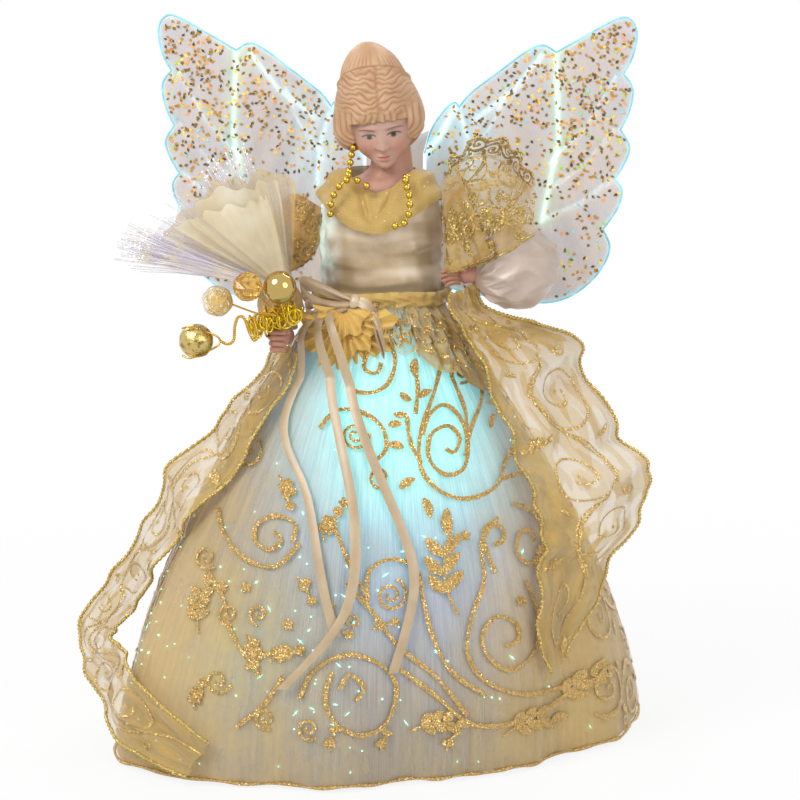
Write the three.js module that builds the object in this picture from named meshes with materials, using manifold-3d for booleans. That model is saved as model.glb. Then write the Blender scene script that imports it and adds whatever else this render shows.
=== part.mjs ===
// An angel tree topper: a porcelain bust and hands, a satin and organza gown over a moulded cone that slips
// over the tip of a tree, a battery light unit with a bundle of light fibres, folding wings and a bouquet.
// Millimetres. +Z is up, the figure faces -Y, and her left hand is on the +X side.
// The origin is the middle of the socket's mouth, on the plane that the base stands on.
import * as THREE from "three";
import { mergeVertices } from "three/addons/utils/BufferGeometryUtils.js";
import Module from "manifold-3d";

const wasm = await Module();
wasm.setup();

// Clearances that every seat shares, and the overrun of every cut
const gap = { seat: 0.3, cloth: 0.5 };
const overrun = 1;

// Tree socket, base and cone. The cone's room is what it leaves round the battery box and above the socket.
const socket = { bore: 26, wall: 1.6, depth: 119, cap: 2, flange: 2.4, flangeThickness: 2 };
const base = { rim: 3, thickness: 3 };
const cone = { room: 7.3, headroom: 46, topRadius: 12, wall: 1.4 };
const boss = { radius: 4, height: 12, inset: 6, count: 3 };
const screw = { headRadius: 2.5, headHeight: 1.6, shankRadius: 1.2, length: 9, recess: 0.3 };

// Light unit: battery box, switch, lamps and fibres
const cell = { radius: 5.25, length: 44.5, capRadius: 1.9, cap: 0.8, pitch: 11, count: 3 };
const box = { wall: 1.4, height: 15, fromSocket: 1 };
const lid = {
  thickness: 1.5, ledge: 1.6, ledgeThickness: 1.2, recess: 0.4, travel: 7, rib: 2, ribHeight: 0.9,
  ribCount: 3, ribShares: [0.3, 0.7],
};
const contact = { coil: 3, wire: 0.35, turnCount: 2, length: 3.6, plate: 0.5, plateSize: 8 };
const toggle = {
  width: 4, length: 5, travel: 3, height: 4.6, bodyHeight: 6, wall: 1.4, from: 40, back: 36, recess: 0.8,
};
const lead = { radius: 0.7, spacing: 1.2, bow: 2.4, underShare: 0.4 };
const bridge = { thickness: 2.5, hub: 7, standoff: 4, notch: 3, notchFrom: 18 };
const board = { radius: 12, thickness: 1.6, lampCircle: 6.2, lampCount: 3 };
const lamp = { radius: 2.4, height: 7, rim: 0.5, rimHeight: 1 };
const ferrule = { length: 22, wall: 1.2, lampGap: 1.5 };
const bundle = { radius: 9.2, crest: 5, layer: 1.3, hem: 24, shoulder: 3 };
const dowel = { radius: 1.5, seat: 18 };

// Figure
const core = { plugRadius: 15, plugHeight: 14.4, height: 46, chest: 25, chestDepth: 18.5 };
const bodice = {
  cloth: 1.4, tuck: 0.8, tuckCount: 4, hemWidth: 26.4, hemDepth: 20.6, topGap: 5, flareShare: 0.3,
};
const bust = {
  plate: 19, plateDepth: 14, plateEdge: 2, plateRise: 6, neck: 8.2, neckLength: 19, neckSide: 4.5,
};
const head = {
  width: 19, depth: 18.5, height: 19.5, lift: 31, lean: -1, back: 1.5,
  face: 12.8, faceDepth: 11.5, faceHeight: 14, faceLift: 24.5, faceFront: 8.5, nose: 2.2, noseHeight: 6,
  bun: 13, bunHeight: 10.5, bunLift: 50.5, bunBack: 3, bunLean: -0.8,
  nodAngle: 11, tipAngle: -7, turnAngle: 6,
};
const collar = {
  width: 26.6, front: 24.4, back: 22.6, cloth: 1.6, rise: 8.6, side: 3, drop: 16.5, notch: 11, swell: 2.6,
  neckWidth: 15.5, neckFront: 19.5, neckBack: 13.5,
};
const bead = { radius: 1.6, pitch: 4.2, thread: 0.5 };
const arm = { wire: 1, drop: 10, reach: 66 };
const hand = {
  length: 17, wrist: 3.6, thumb: 1.6, thumbLength: 7, thumbReach: 5.4, backShare: 0.2, placeShare: 0.3,
};
const puffSleeve = { length: 21, width: 17.5, depth: 15, inset: 0.52, rise: 5, lobeCount: 9, lobeShare: 0.05 };
const puffEndAngles = [20, 160];
const bellSleeve = { length: 17, width: 15.4, lobeShare: 0.03, placeShare: 0.35 };
const armSleeve = { length: 18, width: 12, depth: 11.5, inset: 1.6, foreLength: 12, cuff: 9 };

// Wings and the lamp housing that carries them
const wing = {
  span: 92, height: 123, drop: 6, thickness: 1.2, crease: 12.2, creaseGap: 0.9, rib: 0.9, ribHeight: 0.3,
};
const tab = { height: 42, lift: 2, thickness: 1.2 };
const housing = { width: 20, height: 28, lift: 7, depth: 18, wall: 1.6 };
const wingLamp = { radius: 1.5, length: 6, height: 14, back: 4.5 };

// Gown
const skirt = {
  room: 13, waistRadius: 24, flarePower: 1.6, longShare: 1.07, shortShare: 0.75, turnAngle: 33, cloth: 0.8,
  foldDepth: 3.2, foldCount: 8, foldFineCount: 13, hemGap: 0.5, linerInset: 3.5, linerLift: 2.5,
};
const sash = { height: 6, cloth: 0.8, width: 28, depth: 26.2, drop: 1 };
const drape = { cloth: 0.9, reach: 30, ripple: 2, rippleCount: 7, lie: 3.6 };
const ribbon = { width: 5, cloth: 0.7, lie: 2, hang: 45.8 };
const rosette = {
  radius: 14, depth: 7.5, tuftCount: 9, tuftShare: 0.14, drop: 18.5, side: -9, faceShare: 0.45,
  tipShare: 0.12,
};
const bow = { loop: 15, loopHeight: 4, knot: 3.2, fromStem: 15, tailTurn: 0.00776, leanAngles: [31, 20] };

// Bouquet
const bouquet = {
  side: 4.3, front: 6, lift: 16.88, stem: 2.6, stemLength: 24, leanAngle: 14, forwardShare: 0.05,
  binding: 1.2, bindingLength: 3, bindingDrop: 7.5, holdShare: 0.95,
};
const wrap = {
  inner: 3, outer: 56, edge: 5, cloth: 0.9, pleat: 2.4, pleatCount: 6, fromStem: 4.1, forwardShare: 0.2,
  startAngle: 96, endAngle: 154,
};
const spray = {
  strand: 0.15, count: 300, length: 84, shortShare: 0.8, backing: 7.2, backingDepth: 3.2, slice: 3,
  directionAngle: 136, fanAngle: 33, depthFanAngle: 8, spreadShare: 0.84,
};
const tinsel = { wire: 0.45, turnCount: 8, radius: 4.4, pitch: 2.4, drop: 6.5 };
const bauble = {
  ball: 6.8, crystal: 6.2, clear: 6.4, bell: 7, wire: 0.45, forward: 18.5, reach: 36, bend: 8,
};
const twirl = { turnCount: 4, radius: 2.7, pitch: 2.3, lead: 13.6 };

const radians = (angle) => (angle * Math.PI) / 180;
const V = (x, y, z) => new THREE.Vector3(x, y, z);
const mix = (a, b, share) => a + (b - a) * share;
const up = V(0, 0, 1);

// Heights and radii that follow from the sizes above
const floorTop = base.thickness + gap.seat;
const socketTop = floorTop + socket.depth;
const coneTop = socketTop + cone.headroom;
const socketRadius = socket.bore / 2 + socket.wall;
const bay = {
  width: cell.pitch * cell.count + 2 * gap.seat,
  length: cell.length + cell.cap + 2 * contact.plate + contact.length + 4 * gap.seat,
  near: socketRadius + socket.flange + box.fromSocket,
};
bay.far = bay.near + bay.width + 2 * box.wall;
bay.side = bay.length / 2 + box.wall;
bay.top = floorTop + box.height;
const coneFoot = Math.hypot(bay.far, bay.side) + cone.room;
const baseRadius = coneFoot + base.rim;
const hemRadius = (baseRadius + skirt.room) / skirt.shortShare;
const bridgeFoot = socketTop + gap.seat;
const boardFoot = bridgeFoot + bridge.thickness + bridge.standoff + gap.seat;
const boardTop = boardFoot + board.thickness + gap.seat;
const bundleFoot = boardTop + lamp.height + ferrule.lampGap;
const plugFoot = coneTop + bundle.crest + gap.seat;
const waist = plugFoot + core.plugHeight;
const coreTop = waist + core.height;
const plateFoot = coreTop + gap.seat;
const shoulder = coreTop - arm.drop;
const housingFoot = waist + housing.lift;
const tabFoot = waist + tab.lift;
const wingFoot = waist - wing.drop;

// Sides of the round pieces that meet each other
const facets = { torso: 16, bodice: 20, skirtSpace: 40, backing: 20 };

const finish = (color, roughness, metalness = 0) =>
  new THREE.MeshStandardMaterial({ color, roughness, metalness });
const looks = {
  plastic: finish(0xe9e6df, 0.55), circuit: finish(0x2f6b45, 0.5), copper: finish(0xb5703c, 0.4, 1),
  steel: finish(0xb8bcc0, 0.35, 1), cellSkin: finish(0x4c5a66, 0.45), clear: finish(0xbfe9ee, 0.2),
  porcelain: finish(0xdcae98, 0.4), satin: finish(0xd8c3ae, 0.35), organza: finish(0xe6cf9a, 0.6),
  tulle: finish(0xdcc07c, 0.7), film: finish(0xd9dde4, 0.25), gold: finish(0xc79a3c, 0.3, 1),
  crystal: finish(0xe0b55a, 0.15), lining: finish(0xdfe4ea, 0.5), fibre: finish(0xd5e8ea, 0.3),
  foam: finish(0xf0eee8, 0.9), wood: finish(0xc9a877, 0.7),
};

const angel = new THREE.Group();
function add(name, geometry, look) {
  const mesh = new THREE.Mesh(geometry, look);
  mesh.name = name;
  angel.add(mesh);
  return mesh;
}

// A closed geometry from points and triangles, with its faces turned to point out
function closed(points, faces) {
  let volume = 0;
  for (const [a, b, c] of faces) volume += points[a].dot(points[b].clone().cross(points[c]));
  const outward = volume < 0 ? faces.map(([a, b, c]) => [a, c, b]) : faces;
  const geometry = new THREE.BufferGeometry().setFromPoints(points);
  geometry.setIndex(outward.flat());
  return geometry;
}

// A solid through rings of points, capped at both ends unless the last ring joins the first
function loft(rings, endless = false) {
  const count = rings[0].length;
  const points = rings.flat();
  const faces = [];
  const spans = endless ? rings.length : rings.length - 1;
  for (let i = 0; i < spans; i++) {
    for (let j = 0; j < count; j++) {
      const a = i * count + j;
      const b = i * count + ((j + 1) % count);
      const c = ((i + 1) % rings.length) * count + j;
      const d = ((i + 1) % rings.length) * count + ((j + 1) % count);
      faces.push([a, b, d], [a, d, c]);
    }
  }
  if (endless) return closed(points, faces);
  for (const first of [0, (rings.length - 1) * count]) {
    const ring = points.slice(first, first + count);
    points.push(ring.reduce((sum, p) => sum.add(p), V(0, 0, 0)).divideScalar(count));
    for (let j = 0; j < count; j++) {
      const edge = [first + j, first + ((j + 1) % count)];
      if (first === 0) edge.reverse();
      faces.push([...edge, points.length - 1]);
    }
  }
  return closed(points, faces);
}

// A sheet of cloth or film: at(u, v) is its middle surface. It may close on itself in u.
function sheet(at, uSteps, vSteps, thickness, round = false) {
  const columns = round ? uSteps : uSteps + 1;
  const step = 1e-3;
  const front = [];
  const back = [];
  for (let j = 0; j <= vSteps; j++) {
    for (let i = 0; i < columns; i++) {
      const u = i / uSteps;
      const v = j / vSteps;
      const ends = round ? [u - step, u + step] : [Math.max(u - step, 0), Math.min(u + step, 1)];
      const sides = [Math.max(v - step, 0), Math.min(v + step, 1)];
      const along = at(ends[1], v).sub(at(ends[0], v));
      const across = at(u, sides[1]).sub(at(u, sides[0]));
      const normal = along.cross(across).setLength(thickness / 2);
      front.push(at(u, v).add(normal));
      back.push(at(u, v).sub(normal));
    }
  }
  const half = front.length;
  const last = vSteps * columns;
  const faces = [];
  const quad = (a, b, c, d) => faces.push([a, b, c], [a, c, d]);
  for (let i = 0; i < (round ? columns : columns - 1); i++) {
    const next = (i + 1) % columns;
    for (let row = 0; row < last; row += columns) {
      quad(row + i, row + next, row + columns + next, row + columns + i);
      quad(half + row + columns + i, half + row + columns + next, half + row + next, half + row + i);
    }
    quad(half + i, half + next, next, i);
    quad(last + i, last + next, half + last + next, half + last + i);
  }
  for (let row = 0; !round && row < last; row += columns) {
    const end = row + columns - 1;
    quad(row, row + columns, half + row + columns, half + row);
    quad(half + end, half + end + columns, end + columns, end);
  }
  return closed([...front, ...back], faces);
}

function solidOf(geometry) {
  const plain = geometry.clone();
  plain.deleteAttribute("normal");
  plain.deleteAttribute("uv");
  const merged = mergeVertices(plain, 1e-4);
  const corners = Array.from(merged.index.array);
  const triangles = [];
  for (let i = 0; i < corners.length; i += 3) {
    const face = corners.slice(i, i + 3);
    if (new Set(face).size === 3) triangles.push(...face);
  }
  return new wasm.Manifold(new wasm.Mesh({
    numProp: 3,
    vertProperties: new Float32Array(merged.attributes.position.array),
    triVerts: new Uint32Array(triangles),
  }));
}
function geometryOf(solid) {
  const mesh = solid.getMesh();
  const geometry = new THREE.BufferGeometry();
  geometry.setAttribute("position", new THREE.BufferAttribute(mesh.vertProperties, 3));
  geometry.setIndex(new THREE.BufferAttribute(mesh.triVerts, 1));
  return geometry;
}
const cut = (geometry, ...tools) =>
  geometryOf(tools.reduce((solid, tool) => solid.subtract(solidOf(tool)), solidOf(geometry)));
const join = (...pieces) =>
  geometryOf(pieces.slice(1).reduce((solid, piece) => solid.add(solidOf(piece)), solidOf(pieces[0])));

// Turned work about the Z axis from [radius, height] pairs, which start and end on the axis or make a ring
function turned(profile, segments) {
  const outline = profile.map(([radius, height]) => new THREE.Vector2(radius, height));
  if (profile[0][0] > 0) outline.push(outline[0].clone());
  const made = new THREE.LatheGeometry(outline, segments).rotateX(Math.PI / 2);
  const solid = solidOf(made);
  if (solid.volume() > 0) return geometryOf(solid);
  return geometryOf(solidOf(new THREE.LatheGeometry(outline.reverse(), segments).rotateX(Math.PI / 2)));
}
const rod = (radius, from, to, segments) =>
  turned([[0, from], [radius, from], [radius, to], [0, to]], segments);
const pipe = (inner, outer, from, to, segments) =>
  turned([[inner, from], [outer, from], [outer, to], [inner, to]], segments);

const placed = (geometry, place) => geometry.translate(place.x, place.y, place.z);

// A block between two corners
function block(from, to) {
  const size = to.clone().sub(from);
  return new THREE.BoxGeometry(size.x, size.y, size.z).translate(
    from.x + size.x / 2, from.y + size.y / 2, from.z + size.z / 2);
}

// An oval ring of points, level, or square to a direction
function oval(middle, width, depth, count, along = up, lobes = 0, lobeShare = 0) {
  const lean = new THREE.Quaternion().setFromUnitVectors(up, along.clone().normalize());
  return Array.from({ length: count }, (_, i) => {
    const turn = (i / count) * 2 * Math.PI;
    const swell = 1 + lobeShare * Math.cos(lobes * turn);
    return V(width * swell * Math.cos(turn), depth * swell * Math.sin(turn), 0).applyQuaternion(lean)
      .add(middle);
  });
}

// A round tube through points on a smooth curve, of one radius or of a radius for each step
function tube(points, radius, sides, steps) {
  const curve = new THREE.CatmullRomCurve3(points, false, "centripetal");
  const frames = curve.computeFrenetFrames(steps, false);
  const rings = Array.from({ length: steps + 1 }, (_, i) => {
    const middle = curve.getPointAt(i / steps);
    return Array.from({ length: sides }, (_, j) => {
      const turn = (j / sides) * 2 * Math.PI;
      const reach = typeof radius === "number" ? radius : radius(i);
      return middle.clone().addScaledVector(frames.normals[i], reach * Math.cos(turn))
        .addScaledVector(frames.binormals[i], reach * Math.sin(turn));
    });
  });
  return loft(rings);
}

// A gathered puff of cloth: an ellipsoid about a line, with soft lobes round it
function gathered(middle, along, length, width, depth, lobes, lobeShare, grow = 0) {
  const direction = along.clone().normalize();
  const rows = 5;
  const rings = Array.from({ length: rows + 1 }, (_, i) => {
    const turn = radians(mix(...puffEndAngles, i / rows));
    const size = Math.sin(turn);
    const place = middle.clone().addScaledVector(direction, -(length + grow) * Math.cos(turn));
    return oval(place, (width + grow) * size, (depth + grow) * size, 16, direction, lobes, lobeShare);
  });
  return loft(rings);
}

// Radius of the cone's outer wall, and of the gown, at a height
const coneRadius = (z) => mix(coneFoot, cone.topRadius, (z - floorTop) / (coneTop - floorTop));
function skirtRadius(turn, z) {
  const rise = Math.min(Math.max(z / waist, 0), 1);
  const plain = mix(hemRadius, skirt.waistRadius, rise ** skirt.flarePower);
  const along = turn - radians(skirt.turnAngle);
  const share = 1 / Math.hypot(Math.cos(along) / skirt.longShare, Math.sin(along) / skirt.shortShare);
  const wave = 0.6 * Math.cos(skirt.foldCount * turn + 0.4) + 0.4 * Math.cos(skirt.foldFineCount * turn + 2);
  return plain * mix(share, 1, rise) + skirt.foldDepth * (1 - rise) * wave;
}
function onSkirt(turn, z, stand) {
  const radius = skirtRadius(turn, z) + stand;
  return V(radius * Math.cos(turn), radius * Math.sin(turn), z);
}

// Half-width and half-depth of the torso, by shares of its height above the waist
const torsoShares = [
  [0, 0.77, 0.92], [0.07, 0.93, 0.98], [0.35, 0.97, 1], [0.75, 1, 1], [0.92, 0.93, 0.92], [1, 0.78, 0.76],
];
function torso(rise) {
  const next = Math.max(torsoShares.findIndex((row) => row[0] >= rise), 1);
  const [low, high] = [torsoShares[next - 1], torsoShares[next]];
  const share = (rise - low[0]) / (high[0] - low[0]);
  return [core.chest * mix(low[1], high[1], share), core.chestDepth * mix(low[2], high[2], share)];
}

// Base, socket and cone
const boltTurns = Array.from({ length: boss.count }, (_, i) => radians(210 + (i * 360) / boss.count));
const boltCircle = coneFoot - boss.inset;
const boltPlaces = boltTurns.map((turn) => [boltCircle * Math.cos(turn), boltCircle * Math.sin(turn)]);

function baseDisc() {
  const disc = pipe(socketRadius + gap.seat, baseRadius, 0, base.thickness, 32);
  const lips = [bay.near + box.wall / 2, bay.far - box.wall / 2];
  const groove = block(
    V(-bay.length / 2, lips[0], lid.ledgeThickness),
    V(bay.length / 2 + lid.travel, lips[1], base.thickness + overrun));
  const mouth = block(
    V(-bay.length / 2, lips[0] + lid.ledge, -overrun),
    V(bay.length / 2 + lid.travel, lips[1] - lid.ledge, base.thickness + overrun));
  const slot = block(
    V(-toggle.from - toggle.width / 2 - gap.seat, toggle.back - gap.seat, -overrun),
    V(-toggle.from + toggle.width / 2 + gap.seat, toggle.back + toggle.length + toggle.travel + gap.seat,
      base.thickness + overrun));
  const holes = boltPlaces.flatMap(([x, y]) => [
    rod(screw.shankRadius + gap.seat, -overrun, base.thickness + overrun, 8).translate(x, y, 0),
    rod(screw.headRadius + gap.seat, -overrun, screw.headHeight + 2 * screw.recess, 8).translate(x, y, 0),
  ]);
  return cut(disc, groove, mouth, slot, ...holes);
}

function socketTube() {
  const inner = socket.bore / 2;
  const flangeTop = floorTop + socket.flangeThickness;
  return turned([
    [0, socketTop - socket.cap], [inner, socketTop - socket.cap], [inner, 0], [socketRadius, 0],
    [socketRadius, floorTop], [socketRadius + socket.flange, floorTop],
    [socketRadius + socket.flange, flangeTop], [socketRadius, flangeTop], [socketRadius, socketTop],
    [0, socketTop],
  ], 20);
}

function coneBody() {
  const shell = turned([
    [coneFoot - cone.wall, floorTop], [coneFoot, floorTop], [cone.topRadius, coneTop],
    [cone.topRadius - cone.wall, coneTop],
  ], 24);
  const posts = boltPlaces.map(([x, y]) =>
    rod(boss.radius, floorTop, floorTop + boss.height, 8).translate(x, y, 0));
  const holeTop = screw.length + 2 * screw.recess;
  const holes = boltPlaces.map(([x, y]) =>
    rod(screw.shankRadius + gap.seat, floorTop - overrun, holeTop, 8).translate(x, y, 0));
  return cut(join(shell, ...posts), ...holes);
}

function baseScrew(x, y) {
  const top = screw.recess + screw.headHeight;
  return turned([
    [0, screw.recess], [screw.headRadius, screw.recess], [screw.headRadius, top], [screw.shankRadius, top],
    [screw.shankRadius, screw.length], [0, screw.length],
  ], 8).translate(x, y, 0);
}

// Battery box, open below, with its cells, contacts, lid and switch
function batteryBox() {
  const shell = block(V(-bay.side, bay.near, floorTop), V(bay.side, bay.far, bay.top));
  const room = block(
    V(-bay.length / 2, bay.near + box.wall, floorTop - overrun),
    V(bay.length / 2, bay.far - box.wall, bay.top - box.wall));
  return cut(shell, room);
}
const cellHeight = floorTop + gap.seat + cell.radius;
const cellRow = (i) => bay.near + box.wall + gap.seat + cell.pitch * (i + 0.5);
const cellStart = -bay.length / 2 + 2 * gap.seat + contact.plate + cell.cap;
const sideways = (geometry, x, y, z) => geometry.rotateY(Math.PI / 2).translate(x, y, z);

function batteryCell(i) {
  const profile = [
    [0, -cell.cap], [cell.capRadius, -cell.cap], [cell.capRadius, 0], [cell.radius, 0],
    [cell.radius, cell.length], [0, cell.length],
  ];
  return sideways(turned(profile, 14), cellStart, cellRow(i), cellHeight);
}
// A contact strip across the ends of all the cells, at a place along the bay
function contactStrip(from) {
  const half = contact.plateSize / 2;
  return block(V(from, cellRow(0) - half, cellHeight - half),
    V(from + contact.plate, cellRow(cell.count - 1) + half, cellHeight + half));
}
function contactSprings() {
  const steps = 6 * contact.turnCount;
  const start = cellStart + cell.length + gap.seat + contact.wire;
  const springs = Array.from({ length: cell.count }, (_, i) => {
    const points = Array.from({ length: steps + 1 }, (_, k) => {
      const turn = (k / steps) * contact.turnCount * 2 * Math.PI;
      return V(start + (contact.length * k) / steps, cellRow(i) + contact.coil * Math.cos(turn),
        cellHeight + contact.coil * Math.sin(turn));
    });
    return tube(points, contact.wire, 4, steps);
  });
  return join(contactStrip(bay.length / 2 - gap.seat - contact.plate), ...springs);
}
function batteryLid() {
  const lips = [bay.near + box.wall / 2 + gap.seat, bay.far - box.wall / 2 - gap.seat];
  const foot = lid.ledgeThickness + gap.seat / 2;
  const plate = block(V(-bay.length / 2 + gap.seat, lips[0], foot),
    V(bay.length / 2 - gap.seat, lips[1], foot + lid.thickness));
  const middle = [lips[0] + lid.ledge, lips[1] - lid.ledge];
  const body = block(V(-bay.length / 2 + gap.seat, middle[0], lid.recess),
    V(bay.length / 2 - gap.seat, middle[1], foot + lid.thickness));
  const ribEnds = lid.ribShares.map((share) => mix(...middle, share));
  const ribs = Array.from({ length: lid.ribCount }, (_, i) => block(
    V(-bay.length / 2 + (2 * i + 2) * lid.rib, ribEnds[0], lid.recess - overrun),
    V(-bay.length / 2 + (2 * i + 3) * lid.rib, ribEnds[1], lid.recess + lid.ribHeight)));
  return cut(join(plate, body), ...ribs);
}
const knobRoom = [toggle.back - gap.seat, toggle.back + toggle.length + toggle.travel + gap.seat];
function switchBody() {
  const half = toggle.width / 2 + gap.seat;
  const shell = block(V(-toggle.from - half - toggle.wall, knobRoom[0] - toggle.wall, floorTop),
    V(-toggle.from + half + toggle.wall, knobRoom[1] + toggle.wall, floorTop + toggle.bodyHeight));
  const room = block(V(-toggle.from - half, knobRoom[0], floorTop - overrun),
    V(-toggle.from + half, knobRoom[1], floorTop + toggle.bodyHeight - toggle.wall));
  return cut(shell, room);
}
function switchKnob() {
  return block(V(-toggle.from - toggle.width / 2, toggle.back, toggle.recess),
    V(-toggle.from + toggle.width / 2, toggle.back + toggle.length, floorTop + toggle.height - gap.seat));
}

// Lamp unit on top of the socket
function lampBridge() {
  const top = bridgeFoot + bridge.thickness;
  const radius = coneRadius(top) - cone.wall - gap.seat;
  const plate = turned([
    [0, bridgeFoot], [radius, bridgeFoot], [radius, top], [bridge.hub, top],
    [bridge.hub, top + bridge.standoff], [0, top + bridge.standoff],
  ], 20);
  const notch = rod(bridge.notch, bridgeFoot - overrun, top + overrun, 12);
  return cut(plate, notch.translate(0, bridge.notchFrom, 0));
}
function leadWire(side) {
  const x = (side * lead.spacing) / 2;
  const run = socketRadius + lead.bow;
  const edge = board.radius - lead.bow;
  const under = boardFoot - gap.seat - lead.radius;
  return tube([
    V(x, bay.near + box.wall, bay.top + gap.seat), V(x, bay.near + box.wall, bay.top + lead.bow),
    V(x, run, bay.top + 5 * lead.bow), V(x, run, socketTop - 4 * lead.bow), V(x, bridge.notchFrom, socketTop),
    V(x, bridge.notchFrom, bridgeFoot + bridge.thickness + lead.radius),
    V(x, mix(bridge.notchFrom, edge, lead.underShare), under), V(x, edge, under),
  ], lead.radius, 4, 12);
}
function lampAt(i) {
  const turn = radians((i * 360) / board.lampCount + 45);
  const domeFrom = lamp.height - lamp.radius;
  const dome = [0, 30, 60].map((angle) => [
    lamp.radius * Math.cos(radians(angle)), domeFrom + lamp.radius * Math.sin(radians(angle)),
  ]);
  const profile = [
    [0, 0], [lamp.radius + lamp.rim, 0], [lamp.radius + lamp.rim, lamp.rimHeight],
    [lamp.radius, lamp.rimHeight], ...dome, [0, lamp.height],
  ];
  return turned(profile, 8).translate(
    board.lampCircle * Math.cos(turn), board.lampCircle * Math.sin(turn), boardTop);
}
function lightFibres() {
  const near = dowel.radius + gap.seat;
  const skin = gap.cloth;
  return turned([
    [near, bundleFoot], [bundle.radius, bundleFoot], [bundle.radius, coneTop + gap.seat],
    [cone.topRadius + skin, coneTop + gap.seat], [coneRadius(bundle.hem) + skin, bundle.hem],
    [coneRadius(bundle.hem) + skin + bundle.layer, bundle.hem],
    [cone.topRadius + skin + bundle.layer, coneTop + gap.seat],
    [cone.topRadius - bundle.shoulder, coneTop + bundle.crest], [near, coneTop + bundle.crest],
  ], 24);
}

add("base_disc", baseDisc(), looks.plastic);
add("tree_socket", socketTube(), looks.plastic);
add("cone_body", coneBody(), looks.plastic);
boltPlaces.forEach(([x, y], i) => add(`base_screw_${i + 1}`, baseScrew(x, y), looks.steel));
add("battery_box", batteryBox(), looks.plastic);
for (let i = 0; i < cell.count; i++) add(`battery_cell_${i + 1}`, batteryCell(i), looks.cellSkin);
add("contact_strip", contactStrip(-bay.length / 2 + gap.seat), looks.steel);
add("contact_springs", contactSprings(), looks.steel);
add("battery_lid", batteryLid(), looks.plastic);
add("switch_body", switchBody(), looks.plastic);
add("switch_knob", switchKnob(), looks.plastic);
add("lamp_bridge", lampBridge(), looks.plastic);
add("twin_lead", join(leadWire(1), leadWire(-1)), looks.copper);
add("lamp_board", rod(board.radius, boardFoot, boardFoot + board.thickness, 20), looks.circuit);
for (let i = 0; i < board.lampCount; i++) add(`lamp_${i + 1}`, lampAt(i), looks.clear);
add("ferrule", pipe(bundle.radius + gap.seat, bundle.radius + gap.seat + ferrule.wall, boardTop,
  boardTop + ferrule.length, 20), looks.steel);
add("light_fibres", lightFibres(), looks.fibre);
add("spine_dowel", rod(dowel.radius, boardTop, plugFoot + dowel.seat, 12), looks.wood);

// Arm wire from hand to hand, by shares of its reach from the middle of the shoulders
const armPathShares = [
  [-0.55, -0.5, -0.68], [-0.62, -0.28, -0.42], [-0.6, -0.1, -0.14], [-0.43, 0, 0], [0, 0, 0], [0.5, 0, 0],
  [0.82, -0.02, -0.02], [0.97, -0.1, -0.14], [0.95, -0.18, -0.28], [0.78, -0.25, -0.36], [0.62, -0.28, -0.38],
];
const armAt = (share) => V(arm.reach * share[0], arm.reach * share[1], shoulder + arm.reach * share[2]);
const armPath = armPathShares.map(armAt);
const armWire = (grow = 0) => tube(armPath, arm.wire + grow, 6, 20);

// Torso, bodice and the space that they fill
function torsoCore() {
  const rings = [
    oval(V(0, 0, plugFoot), core.plugRadius, core.plugRadius, facets.torso),
    ...torsoShares.map(([rise]) => oval(V(0, 0, waist + core.height * rise), ...torso(rise), facets.torso)),
  ];
  const bore = rod(dowel.radius + gap.seat, plugFoot - overrun, plugFoot + dowel.seat + gap.seat, 12);
  return cut(loft(rings), bore, armWire(gap.seat));
}
function bodiceAt(rise, grow) {
  const [width, depth] = torso(rise);
  const flare = Math.max(1 - rise / bodice.flareShare, 0);
  const ease = gap.cloth + bodice.cloth / 2 + grow;
  return [mix(width + ease, bodice.hemWidth + grow, flare), mix(depth + ease, bodice.hemDepth + grow, flare)];
}
const bodiceFoot = waist + 2 * gap.cloth;
const bodiceTop = coreTop - bodice.topGap;
function bodiceShell() {
  const at = (u, v) => {
    const z = mix(bodiceFoot, bodiceTop, v);
    const tuck = bodice.tuck * Math.sin(v * bodice.tuckCount * Math.PI) ** 2;
    const [width, depth] = bodiceAt((z - waist) / core.height, tuck);
    return V(width * Math.cos(u * 2 * Math.PI), depth * Math.sin(u * 2 * Math.PI), z);
  };
  return cut(sheet(at, facets.bodice, 7, bodice.cloth, true), armWire(gap.seat));
}
function bodiceSpace() {
  const rows = [0, 0.1, 0.3, 0.5, 0.75, 0.9, 1];
  const grow = bodice.cloth / 2 + bodice.tuck + gap.cloth;
  return loft(rows.map((row) => {
    const z = mix(bodiceFoot - overrun, bodiceTop + overrun, row);
    return oval(V(0, 0, z), ...bodiceAt(Math.max(z - waist, 0) / core.height, grow), facets.bodice);
  }));
}

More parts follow.
